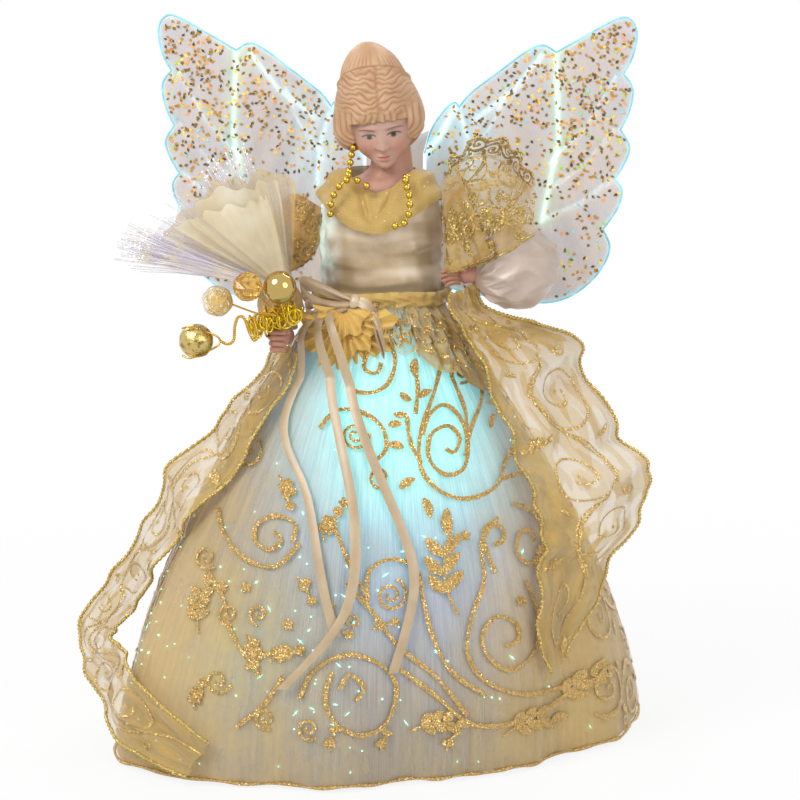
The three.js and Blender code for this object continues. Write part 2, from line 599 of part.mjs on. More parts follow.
// Porcelain bust: shoulder plate, neck, head with its rolled hair, and bun
const ellipsoid = (width, depth, height, around, down) =>
  new THREE.SphereGeometry(1, around, down).rotateX(Math.PI / 2).scale(width, depth, height);
function porcelainBust() {
  const neckTop = plateFoot + bust.neckLength;
  const sides = 18;
  const plate = loft([
    oval(V(0, 0, plateFoot), bust.plate, bust.plateDepth, sides),
    oval(V(0, 0, plateFoot + bust.plateEdge), bust.plate, bust.plateDepth, sides),
    oval(V(bust.neckSide / 2, 0, plateFoot + (bust.plateEdge + bust.plateRise) / 2),
      (bust.plate + bust.neck) / 2, (bust.plateDepth + bust.neck) / 2, sides),
    oval(V(bust.neckSide, 0, plateFoot + bust.plateRise), bust.neck, bust.neck, sides),
    oval(V(bust.neckSide, 0, neckTop), bust.neck, bust.neck, sides),
  ]);
  const skull = ellipsoid(head.width, head.depth, head.height, 14, 9).translate(head.lean, head.back, 0);
  const face = ellipsoid(head.face, head.faceDepth, head.faceHeight, 12, 7)
    .translate(0, -head.faceFront, head.faceLift - head.lift);
  const nose = ellipsoid(head.nose, head.nose, head.noseHeight / 2, 6, 4)
    .translate(0, -head.faceFront - head.faceDepth, head.faceLift - head.lift);
  const bun = ellipsoid(head.bun, head.bun, head.bunHeight, 11, 7)
    .translate(head.bunLean, head.bunBack, head.bunLift - head.lift);
  const whole = join(skull, face, nose, bun).rotateX(radians(head.nodAngle)).rotateY(radians(head.tipAngle))
    .rotateZ(radians(head.turnAngle)).translate(0, 0, plateFoot + head.lift);
  return join(plate, whole);
}

// Cowl collar round the neck, and the bead chain that lies on it
function collarAt(u, v, stand = 0) {
  const turn = u * 2 * Math.PI;
  const [side, front] = [Math.cos(turn), -Math.sin(turn)];
  const frontness = Math.max(front, 0) ** 3;
  const inner = V(collar.neckWidth * side, -front * (front > 0 ? collar.neckFront : collar.neckBack),
    coreTop + collar.rise - collar.notch * frontness);
  const outer = V(collar.width * side, -front * (front > 0 ? collar.front : collar.back),
    coreTop - collar.side - (collar.drop - collar.side) * frontness);
  const out = V(side, -front, 0.8).normalize();
  return inner.lerp(outer, v).addScaledVector(out, collar.swell * Math.sin(Math.PI * v) + stand);
}
const beadPathShares = [
  [0.62, 1], [0.6, 0.75], [0.575, 0.5], [0.55, 0.25], [0.5, 0.15], [0.38, 0.15], [0.25, 0.15], [0.12, 0.15],
  [0, 0.15], [0.89, 0.2], [0.855, 0.45], [0.835, 0.72], [0.815, 1],
];
function beadChain() {
  const stand = collar.cloth / 2 + bead.radius + 2 * gap.seat;
  const points = beadPathShares.map(([u, v]) => collarAt(u, v, stand));
  const length = new THREE.CatmullRomCurve3(points, false, "centripetal").getLength();
  const count = Math.round(length / bead.pitch);
  const radii = [bead.thread, bead.radius, bead.radius];
  return tube(points, (step) => radii[step % radii.length], 5, radii.length * count);
}
const collarSpace = () => sheet((u, v) => collarAt(u, v), 28, 3, collar.cloth + 2 * gap.cloth, true);

// Sleeves and hands
const leftArm = armAt([0.72, 0, 0]);
const puffTurn = V(1, 0, -0.12);
const puffMiddle = V(leftArm.x - puffSleeve.inset, 0, leftArm.z + puffSleeve.rise);
const leftPuff = (grow = 0) => gathered(
  puffMiddle, puffTurn, puffSleeve.length, puffSleeve.width, puffSleeve.depth, puffSleeve.lobeCount,
  puffSleeve.lobeShare, grow);
const bellMiddle = armPath[8].clone().lerp(armPath[9], bellSleeve.placeShare);
const bellTurn = armPath[10].clone().sub(armPath[8]);
const leftBell = (grow = 0) => gathered(
  bellMiddle, bellTurn, bellSleeve.length, bellSleeve.width, bellSleeve.width, puffSleeve.lobeCount,
  bellSleeve.lobeShare, grow);
const armSleeveMiddle = armPath[2].clone().add(V(armSleeve.inset, 0, gap.seat));
const armSleeveTurn = V(-0.5, -0.2, -0.84);
const rightPuff = (grow = 0) => gathered(
  armSleeveMiddle, armSleeveTurn, armSleeve.length, armSleeve.width, armSleeve.depth, puffSleeve.lobeCount,
  puffSleeve.lobeShare, grow);
const rightFore = (grow = 0) => gathered(
  armPath[0].clone().lerp(armPath[1], 0.5), armPath[0].clone().sub(armPath[1]), armSleeve.foreLength,
  armSleeve.cuff, armSleeve.cuff, puffSleeve.lobeCount, puffSleeve.lobeShare, grow);

// Hand: a wrist, a palm and curled fingers along a line, with a thumb beside them
const palmShares = [[0, 1, 1], [0.3, 1.25, 0.95], [0.55, 1.35, 0.95], [0.8, 1.15, 0.85], [1, 0.6, 0.55]];
function handAt(wrist, along, thumbSide) {
  const direction = along.clone().normalize();
  const rings = palmShares.map(([share, wide, deep]) => oval(
    wrist.clone().addScaledVector(direction, hand.length * share), hand.wrist * wide, hand.wrist * deep, 8,
    direction));
  const root = wrist.clone().addScaledVector(direction, hand.length * palmShares[1][0]);
  const tip = root.clone().addScaledVector(direction, hand.thumbLength)
    .addScaledVector(thumbSide, hand.thumbReach);
  const bend = root.clone().lerp(tip, 0.5).addScaledVector(thumbSide, hand.thumb);
  const thumb = tube([root, bend, tip], hand.thumb, 5, 3);
  return join(loft(rings), thumb);
}

// Bouquet stem, and the point that its fan and fibres spread from
const focus = armPath[0].clone().add(V(bouquet.side, -bouquet.front, bouquet.lift));
const stemLean = radians(bouquet.leanAngle);
const stemTurn = V(Math.sin(stemLean), bouquet.forwardShare, Math.cos(stemLean));
const alongStem = (geometry) =>
  geometry.applyQuaternion(new THREE.Quaternion().setFromUnitVectors(up, stemTurn.clone().normalize()))
    .translate(focus.x, focus.y, focus.z);
const stemRod = (grow = 0) => alongStem(rod(bouquet.stem + grow, -bouquet.stemLength - grow, -gap.seat, 12));

const held = focus.clone().addScaledVector(stemTurn, -bouquet.stemLength * bouquet.holdShare);
const thumbSides = { right: V(1, 0, 0.3), left: V(0, 0, 1) };
const leftHandTurn = V(-1, -0.25, -0.05);
const rightHand = () => handAt(
  armPath[0].clone().lerp(held, -hand.backShare), held.clone().sub(armPath[0]), thumbSides.right);
const leftHand = () => handAt(
  armPath[10].clone().lerp(armPath[9], hand.placeShare), leftHandTurn, thumbSides.left);

// Wings: lobed film panels, each with pressed ribs, folding at a crease beside the tab
const wingNear = wing.crease + wing.creaseGap;
const wingBack = housing.depth + bodiceAt(0.5, 0)[1] + bodice.cloth + gap.seat + tab.thickness;
const lobeShares = [
  [[0, 0.52], [0.03, 0.6], [0.09, 0.67], [0.14, 0.7], [0.162, 0.683]],
  [[0.162, 0.683], [0.22, 0.735], [0.36, 0.815], [0.49, 0.886], [0.56, 0.902], [0.618, 0.878]],
  [[0.618, 0.878], [0.77, 0.943], [0.9, 0.995], [0.96, 0.995], [0.993, 0.95], [0.977, 0.87], [0.934, 0.805]],
  [[0.934, 0.805], [0.977, 0.756], [0.966, 0.683], [0.923, 0.61]],
  [[0.923, 0.61], [0.966, 0.553], [0.945, 0.496], [0.9, 0.439]],
  [[0.9, 0.439], [0.934, 0.398], [0.912, 0.333], [0.847, 0.26]],
  [[0.847, 0.26], [0.88, 0.195], [0.836, 0.114], [0.738, 0.04], [0.618, 0], [0.455, 0], [0.2, 0.03],
    [0, 0.065]],
];
const ribShares = [
  [[0.618, 0.86], [0.56, 0.29]], [[0.162, 0.665], [0.22, 0.43]], [[0.12, 0.68], [0.01, 0.51]],
  [[0.55, 0.87], [0.25, 0.65]], [[0.9, 0.8], [0.6, 0.5]], [[0.88, 0.44], [0.58, 0.3]],
];
function wingPanel(side) {
  const place = ([across, rise]) =>
    new THREE.Vector2(wingNear + wing.span * across, wingFoot + wing.height * rise);
  const shape = new THREE.Shape();
  shape.moveTo(...place(lobeShares[0][0]).toArray());
  for (const lobe of lobeShares) shape.splineThru(lobe.slice(1).map(place));
  const film = new THREE.ExtrudeGeometry(
    shape, { depth: wing.thickness, bevelEnabled: false, curveSegments: 2 });
  const ribs = ribShares.map((ends) => {
    const [from, to] = ends.map(place);
    const across = to.clone().sub(from).rotateAround(new THREE.Vector2(), Math.PI / 2).setLength(wing.rib);
    const foot = new THREE.Shape([
      from.clone().add(across), from.clone().sub(across), to.clone().sub(across), to.clone().add(across),
    ]);
    return new THREE.ExtrudeGeometry(foot, { depth: wing.thickness + wing.ribHeight, bevelEnabled: false });
  });
  const panel = join(film, ...ribs).rotateX(Math.PI / 2).translate(0, wingBack + wing.thickness / 2, 0);
  if (side > 0) return panel;
  panel.scale(-1, 1, 1);
  return flipped(panel);
}
function flipped(geometry) {
  const corners = Array.from(geometry.index.array);
  for (let i = 0; i < corners.length; i += 3) [corners[i], corners[i + 1]] = [corners[i + 1], corners[i]];
  geometry.setIndex(corners);
  return geometry;
}
const housingBack = wingBack - tab.thickness / 2 - gap.seat;
const lampHeight = housingFoot + wingLamp.height;
const lampLine = housingBack - wingLamp.back;
function wingLampAt(side, grow = 0) {
  const out = housing.width / 2 + housing.wall / 2;
  return rod(wingLamp.radius + grow, -wingLamp.length, grow, 10).rotateY((side * Math.PI) / 2)
    .translate(side * out, lampLine, lampHeight);
}
function wingHousing() {
  const half = housing.width / 2;
  const top = housingFoot + housing.height;
  const shell = block(V(-half, housingBack - housing.depth, housingFoot), V(half, housingBack, top));
  const room = block(
    V(-half + housing.wall, housingBack - housing.depth + housing.wall, housingFoot + housing.wall),
    V(half - housing.wall, housingBack + overrun, top - housing.wall));
  return cut(shell, room, wingLampAt(1, gap.seat), wingLampAt(-1, gap.seat), bodiceSpace());
}
const wingTab = () => block(
  V(-wing.crease, wingBack - tab.thickness / 2, tabFoot),
  V(wing.crease, wingBack + tab.thickness / 2, tabFoot + tab.height));

// Gown: liner, skirt, sash, rosette, bow and ribbons
const skirtFoot = skirt.hemGap + skirt.cloth / 2;
const skirtSheet = () => sheet(
  (u, v) => onSkirt(u * 2 * Math.PI, mix(skirtFoot, waist, v), 0), 48, 5, skirt.cloth, true);
const linerSheet = () => sheet(
  (u, v) => onSkirt(u * 2 * Math.PI, mix(skirtFoot + skirt.linerLift, waist, v), -skirt.linerInset), 30, 3,
  skirt.cloth, true);
const sashFoot = waist - sash.drop;
function sashBand() {
  const level = (z, grow) => oval(V(0, 0, z), sash.width + grow, sash.depth + grow, 28);
  const height = sashFoot + sash.height;
  return loft([
    level(sashFoot, 0), level(sashFoot, sash.cloth), level(sashFoot + sash.height / 2, 2 * sash.cloth),
    level(height, sash.cloth), level(height, 0),
  ], true);
}
function rosettePuff() {
  const z = waist - rosette.drop;
  const depthAt = skirtRadius(-Math.PI / 2, z + rosette.radius / 2) + skirt.cloth + gap.cloth;
  const rows = [[1, 0.94], [0.6, 1], [0.2, 0.8], [0, rosette.faceShare]];
  const facing = V(0, 1, rosette.tipShare);
  const rings = rows.map(([share, size]) => oval(
    V(rosette.side, -depthAt - rosette.depth * (1 - share), z), rosette.radius * size, rosette.radius * size,
    3 * rosette.tuftCount, facing, rosette.tuftCount, rosette.tuftShare));
  return cut(loft(rings), skirtSpace());
}
const skirtSpaceShares = [0.7, 0.8, 0.85, 0.9, 0.94, 0.97, 1];
function skirtSpace() {
  const ringAt = (z) => Array.from({ length: facets.skirtSpace }, (_, i) =>
    onSkirt((i / facets.skirtSpace) * 2 * Math.PI, z, skirt.cloth / 2 + gap.cloth));
  return loft(skirtSpaceShares.map((rise) => ringAt(waist * rise)));
}

const bowAt = V(
  focus.x + bow.fromStem, -sash.depth - 2 * sash.cloth - bow.knot - gap.seat, sashFoot + sash.height / 2);
const bowTurn = Math.atan2(bowAt.y, bowAt.x) / radians(1) + bow.tailTurn;
function bowLoop(side, lean) {
  const at = (u, v) => {
    const turn = u * 2 * Math.PI;
    const reach = bow.knot / 2 + (bow.loop * (1 - Math.cos(turn))) / 2;
    const rise = bow.loopHeight * Math.sin(turn) * mix(0.5, 1, (1 - Math.cos(turn)) / 2);
    return V(side * reach, ribbon.width * (v - 0.5), rise).applyAxisAngle(V(0, 1, 0), lean).add(bowAt);
  };
  return sheet(at, 12, 1, ribbon.cloth, true);
}

// Ribbon tails leave the knot, hang, then lie on the skirt: rows of turn, share of the waist's height, share
// of the radius that they hang at, and lift off the skirt
const tailShares = [
  [[bowTurn, 1.01, 0.79, 1], [-125, 0.955, 1, 1], [-127, 0.89, 1, 1], [-126, 0.76, 1, 1], [-107, 0.61, 1, 1],
    [-96, 0.39, 1, 1], [-93.5, 0.335, 1, 1]],
  [[bowTurn, 1.01, 0.79, 1], [-116, 0.955, 1, 2], [-109, 0.86, 1, 2], [-97, 0.72, 1, 2], [-90, 0.57, 1, 2],
    [-91, 0.39, 1, 2], [-106, 0.22, 1, 2]],
  [[bowTurn, 1.01, 0.79, 1], [-107, 0.955, 1, 1], [-96, 0.82, 1, 1], [-84, 0.68, 1, 1], [-74, 0.53, 1, 1],
    [-72, 0.42, 1, 1], [-78.5, 0.25, 1, 1]],
];
function smooth(rows, share) {
  const place = Math.min(share * (rows.length - 1), rows.length - 1 - 1e-6);
  const i = Math.floor(place);
  const t = place - i;
  const [a, b, c] = [rows[Math.max(i - 1, 0)], rows[i], rows[i + 1]];
  const d = rows[Math.min(i + 2, rows.length - 1)];
  return b.map((value, k) => value + 0.5 * t * (c[k] - a[k] + t * (2 * a[k] - 5 * value + 4 * c[k] - d[k]
    + t * (3 * (value - c[k]) + d[k] - a[k]))));
}
function ribbonTail(rows) {
  const at = (u, v) => {
    const [turn, rise, hangShare, lift] = smooth(rows, u);
    const z = waist * rise;
    const hang = Math.max(ribbon.hang * hangShare - skirtRadius(radians(turn), z), ribbon.lie * lift);
    const half = (ribbon.width * (v - 0.5)) / (skirtRadius(radians(turn), z) + hang);
    return onSkirt(radians(turn) + half, z, hang);
  };
  return sheet(at, 12, 1, ribbon.cloth);
}
const waistRibbon = () => join(
  placed(new THREE.SphereGeometry(bow.knot, 10, 6), bowAt), bowLoop(-1, radians(bow.leanAngles[0])),
  bowLoop(1, radians(bow.leanAngles[1])), ...tailShares.map(ribbonTail));

// Drapes: rows of turn, share of the waist's height and stand for the outer edge, then the same for the inner
const leftDrapeShares = [
  [-26, 1.034, 0.5, -41, 1.01, 0.42], [-19, 0.985, 0.75, -39, 0.965, 0.42], [-8, 0.955, 1.1, -35, 0.92, 0.4],
  [0, 0.915, 1.35, -31, 0.84, 0.28], [1, 0.824, 1.2, -28, 0.745, 0.16], [2, 0.7, 1.15, -26, 0.65, 0.1],
  [1, 0.628, 1.3, -26, 0.564, 0.12], [-1, 0.553, 1.05, -26, 0.489, 0.05], [-6, 0.457, 0.5, -30, 0.426, 0],
  [-14, 0.351, 0.12, -35, 0.33, 0], [-24, 0.235, 0, -33, 0.215, 0],
];
const rightDrapeShares = [
  [206, 0.925, 0.12, 229, 0.9, 0.05], [205, 0.86, 0.1, 229, 0.8, 0], [201, 0.785, 0.1, 226, 0.69, 0],
  [196, 0.707, 0.22, 219, 0.585, 0], [190, 0.606, 0.42, 211, 0.5, 0], [186, 0.5, 0.36, 204, 0.4, 0],
  [185, 0.4, 0.46, 197, 0.325, 0.05], [186, 0.31, 0.66, 194, 0.265, 0.12], [189, 0.22, 0.72, 196, 0.24, 0.3],
  [195, 0.15, 0.46, 203, 0.235, 0.1], [206, 0.1, 0.05, 212, 0.22, 0], [221, 0.055, 0, 226, 0.17, 0],
  [236, 0.022, 0, 240, 0.1, 0],
];
function drapeSheet(rows, steps) {
  const at = (u, v) => {
    const [turnOut, riseOut, standOut, turnIn, riseIn, standIn] = smooth(rows, u);
    const gather = 0.5 + 0.5 * Math.sin(u * drape.rippleCount * 2 * Math.PI + 2 * v);
    const lift = drape.reach * mix(standOut, standIn, v) + drape.ripple * gather;
    return onSkirt(
      radians(mix(turnOut, turnIn, v)), waist * mix(riseOut, riseIn, v), drape.lie + Math.max(lift, 0));
  };
  return sheet(at, steps, 2, drape.cloth);
}

// Bouquet: stem, binding with its picks, pleated wrap, fibre spray, coil of gilt wire and baubles
const fanLine = (angle, reach, front = 0) =>
  V(focus.x + reach * Math.cos(radians(angle)), focus.y - front, focus.z + reach * Math.sin(radians(angle)));
const sprayTurn = fanLine(spray.directionAngle, 1).sub(focus);
const sprayAcross = V(0, 1, 0).cross(sprayTurn);
function sprayBacking(grow = 0) {
  const ringAt = (reach) => Array.from({ length: facets.backing }, (_, i) => {
    const turn = (i / facets.backing) * 2 * Math.PI;
    return focus.clone().addScaledVector(sprayTurn, reach)
      .addScaledVector(sprayAcross, (spray.backing + grow) * Math.cos(turn))
      .addScaledVector(V(0, 1, 0), (spray.backingDepth + grow) * Math.sin(turn));
  });
  return loft([ringAt(-grow), ringAt(spray.slice + grow)]);
}
function fibreSpray() {
  const strands = Array.from({ length: spray.count }, (_, i) => {
    const share = Math.sqrt((i + 0.5) / spray.count) * spray.spreadShare;
    const turn = i * Math.PI * (3 - Math.sqrt(5));
    const [side, front] = [share * Math.cos(turn), share * Math.sin(turn)];
    const foot = focus.clone().addScaledVector(sprayTurn, spray.slice / 2)
      .addScaledVector(sprayAcross, spray.backing * side).add(V(0, spray.backingDepth * front, 0));
    const along = sprayTurn.clone().addScaledVector(sprayAcross, Math.tan(radians(spray.fanAngle)) * side)
      .add(V(0, Math.tan(radians(spray.depthFanAngle)) * front, 0)).normalize();
    const reach = spray.length * mix(spray.shortShare, 1, (i * 0.618) % 1);
    const tip = foot.clone().addScaledVector(along, reach);
    const points = [...oval(foot, spray.strand, spray.strand, 3, along), tip];
    return closed(points, [[0, 2, 1], [0, 1, 3], [1, 2, 3], [2, 0, 3]]);
  });
  return join(sprayBacking(), ...strands);
}
function wrapSheet() {
  const at = (u, v) => {
    const edge = wrap.edge * Math.sin(u * wrap.pleatCount * Math.PI) ** 2;
    const reach = mix(wrap.inner, wrap.outer + edge, v);
    const pleat = wrap.pleat * (reach / wrap.outer) * Math.cos(u * wrap.pleatCount * 2 * Math.PI);
    const front = wrap.fromStem + wrap.forwardShare * reach + pleat;
    return fanLine(mix(wrap.startAngle, wrap.endAngle, u), reach, front);
  };
  return sheet(at, 24, 2, wrap.cloth);
}

// Baubles, by shares of their reach from the focus, and the wires that carry them
const baubleShares = { ball: [-0.03, 0.1], crystal: [-0.4, 0.1], clear: [-0.75, -0.07], bell: [-1, -0.53] };
const baubleAt = (name) => V(focus.x + bauble.reach * baubleShares[name][0], focus.y - bauble.forward,
  focus.z + bauble.reach * baubleShares[name][1]);
const bindingMiddle = focus.clone()
  .addScaledVector(stemTurn, -bouquet.bindingDrop - bouquet.bindingLength / 2);
const wireStart = bindingMiddle.clone().add(V(0, -bouquet.stem - gap.seat - bouquet.binding / 2, 0));
const wireBend = wireStart.clone().add(V(0, -bauble.bend, 0));
function wireTo(name) {
  const place = baubleAt(name);
  const end = place.clone().add(wireBend.clone().sub(place).setLength(bauble[name] + gap.seat));
  return tube([wireStart, wireBend, end], bauble.wire, 5, 5);
}
function twirlWire() {
  const place = baubleAt("bell");
  const start = wireBend.clone().add(V(-twirl.lead, 0, -twirl.lead / 2));
  const axis = place.clone().sub(start).normalize();
  const [side, lift] = [V(0, 1, 0), V(0, 1, 0).cross(axis).normalize()];
  const steps = 7 * twirl.turnCount;
  const coils = Array.from({ length: steps + 1 }, (_, i) => {
    const turn = (i / steps) * twirl.turnCount * 2 * Math.PI;
    return start.clone().addScaledVector(axis, (twirl.pitch * twirl.turnCount * i) / steps)
      .addScaledVector(side, twirl.radius * (1 - Math.cos(turn)))
      .addScaledVector(lift, twirl.radius * Math.sin(turn));
  });
  const end = place.clone().addScaledVector(axis, -bauble.bell - gap.seat);
  return tube([wireStart, wireBend, ...coils, end], bauble.wire, 4, steps + 10);
}
function binding() {
  const radius = bouquet.stem + gap.seat;
  const ring = alongStem(pipe(radius, radius + bouquet.binding, -bouquet.bindingDrop - bouquet.bindingLength,
    -bouquet.bindingDrop, 10));
  return join(ring, wireTo("ball"), wireTo("crystal"), wireTo("clear"), twirlWire());
}
function tinselCoil() {
  const steps = 8 * tinsel.turnCount;
  const length = tinsel.turnCount * tinsel.pitch;
  const front = bouquet.stem + tinsel.radius + tinsel.wire + gap.seat;
  const middle = bindingMiddle.clone().add(V(0, -front, -tinsel.drop));
  const points = Array.from({ length: steps + 1 }, (_, i) => {
    const turn = (i / steps) * tinsel.turnCount * 2 * Math.PI;
    const [y, z] = [tinsel.radius * Math.cos(turn), tinsel.radius * Math.sin(turn)];
    return V(length * (i / steps - 0.5), y, z).add(middle);
  });
  let least = Infinity;
  points.forEach((a, i) => points.forEach((b, k) => {
    if (Math.abs(i - k) > 4) least = Math.min(least, a.distanceTo(b) - 2 * tinsel.wire);
  }));
  console.log(`gilt coil: least gap to itself ${least.toFixed(2)} mm`);
  return tube(points, tinsel.wire, 4, steps);
}

add("torso_core", torsoCore(), looks.foam);
add("porcelain_bust", porcelainBust(), looks.porcelain);
add("arm_wire", armWire(), looks.steel);
add("bodice", bodiceShell(), looks.satin);
add("collar", sheet((u, v) => collarAt(u, v), 28, 3, collar.cloth, true), looks.tulle);
add("bead_chain", beadChain(), looks.gold);
add("left_puff_sleeve", cut(leftPuff(), bodiceSpace(), collarSpace(), armWire(gap.seat)), looks.organza);
add("left_bell_sleeve", cut(leftBell(), leftPuff(gap.cloth), armWire(gap.seat)), looks.satin);
add("right_puff_sleeve", cut(rightPuff(), bodiceSpace(), collarSpace(), armWire(gap.seat)), looks.organza);
add("right_lower_sleeve", cut(rightFore(), rightPuff(gap.cloth), armWire(gap.seat)), looks.organza);
add("left_hand", cut(leftHand(), armWire(gap.seat), leftBell(gap.seat)), looks.porcelain);
add("right_hand", cut(rightHand(), armWire(gap.seat), stemRod(gap.seat), rightFore(gap.seat)),
  looks.porcelain);
add("wing_housing", wingHousing(), looks.plastic);
add("wing_tab", wingTab(), looks.film);
add("wing_lamp_left", wingLampAt(1), looks.clear);
add("wing_lamp_right", wingLampAt(-1), looks.clear);
add("left_wing", wingPanel(1), looks.film);
add("right_wing", wingPanel(-1), looks.film);
add("skirt_liner", linerSheet(), looks.lining);
add("skirt", skirtSheet(), looks.organza);
add("waist_sash", sashBand(), looks.organza);
add("waist_rosette", rosettePuff(), looks.tulle);
add("waist_ribbon", waistRibbon(), looks.satin);
add("left_drape", drapeSheet(leftDrapeShares, 28), looks.organza);
add("right_drape", drapeSheet(rightDrapeShares, 34), looks.organza);
add("bouquet_stem", cut(stemRod(), sprayBacking(gap.seat)), looks.wood);
add("bauble_wires", binding(), looks.gold);
add("bouquet_wrap", wrapSheet(), looks.organza);
add("bouquet_fibres", fibreSpray(), looks.fibre);
add("gilt_coil", tinselCoil(), looks.gold);
add("gold_ball", placed(new THREE.SphereGeometry(bauble.ball, 12, 8), baubleAt("ball")), looks.gold);
add("gold_bell", placed(new THREE.SphereGeometry(bauble.bell, 12, 8), baubleAt("bell")), looks.gold);
const beadShape = (name) => placed(new THREE.IcosahedronGeometry(bauble[name], 1), baubleAt(name));
add("faceted_bead", beadShape("crystal"), looks.crystal);
add("clear_bead", beadShape("clear"), looks.crystal);

export default angel;
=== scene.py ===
"""Looks of the angel tree topper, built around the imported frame. Lengths in the making are millimetres."""

import math

import bpy
import numpy as np
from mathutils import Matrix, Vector, geometry


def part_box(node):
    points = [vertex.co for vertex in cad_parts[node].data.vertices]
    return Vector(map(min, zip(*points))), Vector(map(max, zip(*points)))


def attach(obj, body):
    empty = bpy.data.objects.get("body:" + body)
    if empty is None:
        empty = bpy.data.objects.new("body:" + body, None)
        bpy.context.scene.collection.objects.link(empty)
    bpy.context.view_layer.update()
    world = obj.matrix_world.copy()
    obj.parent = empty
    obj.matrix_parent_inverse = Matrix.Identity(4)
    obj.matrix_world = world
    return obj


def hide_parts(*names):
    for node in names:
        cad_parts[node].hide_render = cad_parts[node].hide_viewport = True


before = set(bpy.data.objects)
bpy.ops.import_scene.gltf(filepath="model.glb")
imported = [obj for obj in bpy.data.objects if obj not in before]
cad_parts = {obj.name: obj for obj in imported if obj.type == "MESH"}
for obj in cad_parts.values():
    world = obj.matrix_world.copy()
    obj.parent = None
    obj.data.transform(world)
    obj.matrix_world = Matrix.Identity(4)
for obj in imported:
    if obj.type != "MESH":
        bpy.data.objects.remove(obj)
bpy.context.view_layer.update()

MM = 0.001
UP = np.array([0.0, 0.0, 1.0])
FULL = 2 * math.pi
rng = np.random.default_rng(12)


# Small sums that everything shares
def mix(a, b, share):
    return a + (b - a) * share


def ease(low, high, value):
    share = np.clip((value - low) / (high - low), 0, 1)
    return share * share * (3 - 2 * share)


def bump(value, width):
    return np.exp(-((value / width) ** 2))


def unit(vectors):
    return vectors / np.maximum(np.linalg.norm(vectors, axis=-1, keepdims=True), 1e-9)


def vec(*values):
    return np.array(values, float)


def box_mm(node):
    low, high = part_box(node)
    return np.array(low) / MM, np.array(high) / MM


def paint(red, green, blue):
    """A colour as the eye reads it, 0 to 255, as the linear values that Blender mixes."""
    share = np.array([red, green, blue], float) / 255
    return np.where(share <= 0.04045, share / 12.92, ((share + 0.055) / 1.055) ** 2.4)


def toward(turn, rise):
    """The direction to a viewer who stands at a turn from the front and a rise, both in radians."""
    return vec(math.sin(turn) * math.cos(rise), -math.cos(turn) * math.cos(rise), math.sin(rise))


def line_length(line):
    return np.linalg.norm(np.diff(line, axis=0), axis=1).sum()


# Making objects and meshes
def put_in_scene(name, data):
    made = bpy.data.objects.new(name, data)
    bpy.context.scene.collection.objects.link(made)
    return made


def put_facing(name, data, back, place):
    """An object at a place in metres, whose own Z points back at the viewer."""
    made = put_in_scene(name, data)
    made.location = place
    made.rotation_euler = Vector(back).to_track_quat("Z", "Y").to_euler()
    return made


def mesh_piece(name, points, faces, look, slot, body="root", replaces=(), smooth=True, uv=None):
    mesh = bpy.data.meshes.new(name)
    mesh.from_pydata((np.asarray(points, float) * MM).tolist(), [], [tuple(map(int, face)) for face in faces])
    mesh.update()
    if uv is not None:
        layer = mesh.uv_layers.new(name="UVMap")
        corners = np.zeros(len(mesh.loops), np.int32)
        mesh.loops.foreach_get("vertex_index", corners)
        layer.data.foreach_set("uv", np.asarray(uv, float)[corners].astype(np.float32).ravel())
    mesh.polygons.foreach_set("use_smooth", np.full(len(mesh.polygons), smooth))
    mesh.materials.append(look)
    piece = put_in_scene(name, mesh)
    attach(piece, body)
    if replaces:
        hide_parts(*replaces)
    return piece


def give_tone(piece, values):
    """Colours for each point, which looks read as the attribute tone."""
    layer = piece.data.color_attributes.new("tone", "FLOAT_COLOR", "POINT")
    full = np.ones((len(piece.data.vertices), 4), np.float32)
    full[:, : values.shape[1]] = values
    layer.data.foreach_set("color", full.ravel())


def grid_faces(rows, columns, wrap=False):
    around = columns if wrap else columns - 1
    i, j = np.meshgrid(np.arange(rows - 1), np.arange(around), indexing="ij")
    a = i * columns + j
    b = i * columns + (j + 1) % columns
    return np.stack([a, b, b + columns, a + columns], -1).reshape(-1, 4).tolist()


def surface(at, u_steps, v_steps, wrap=False):
    """Points of a surface at(u, v), with rows along v and columns along u, its faces, and u and v of each point."""
    u, v = np.meshgrid(np.linspace(0, 1, u_steps + 1)[: u_steps + (not wrap)], np.linspace(0, 1, v_steps + 1))
    grid = at(u, v)
    return grid, grid_faces(len(grid), grid.shape[1], wrap), u, v


def shell_piece(name, at, steps, look, slot, wrap=False):
    """A skin that is no sheet of cloth. Gives the piece, and v for each of its points."""
    grid, faces, _, v = surface(at, *steps, wrap)
    return mesh_piece(name, grid.reshape(-1, 3), faces, look, slot), v.ravel()


def sheet_size(grid, wrap=False):
    """Width and length of a sheet in metres, measured along its longest lines, and its area."""
    closed = np.concatenate([grid, grid[:, :1]], 1) if wrap else grid
    along_u = np.linalg.norm(np.diff(closed, axis=1), axis=-1).sum(1)
    along_v = np.linalg.norm(np.diff(grid, axis=0), axis=-1).sum(0)
    sides = np.diff(closed, axis=1)[:-1], np.diff(closed, axis=0)[:, :-1]
    area = np.linalg.norm(np.cross(*sides), axis=-1).sum()
    return along_u.max() * MM, along_v.max() * MM, area * MM * MM


# metres, the narrowest strip that can be declared as a sheet
least_side = 0.0101  # metres, the least width and length that a sheet's uv counts


def cloth_piece(name, at, steps, look, slot, wrap=False, replaces=()):
    """A sheet of cloth at(u, v), whose uv counts tens of millimetres. Gives its grid of points."""
    grid, faces, u, v = surface(at, *steps, wrap)
    width, length, area = sheet_size(grid, wrap)
    width, length = max(width, least_side), max(length, least_side)
    uv = np.stack([u * width / MM, v * length / MM], -1).reshape(-1, 2) / 10
    piece = mesh_piece(name, grid.reshape(-1, 3), faces, look, slot, replaces=replaces, uv=uv)
    min(area, width * length)
    return grid


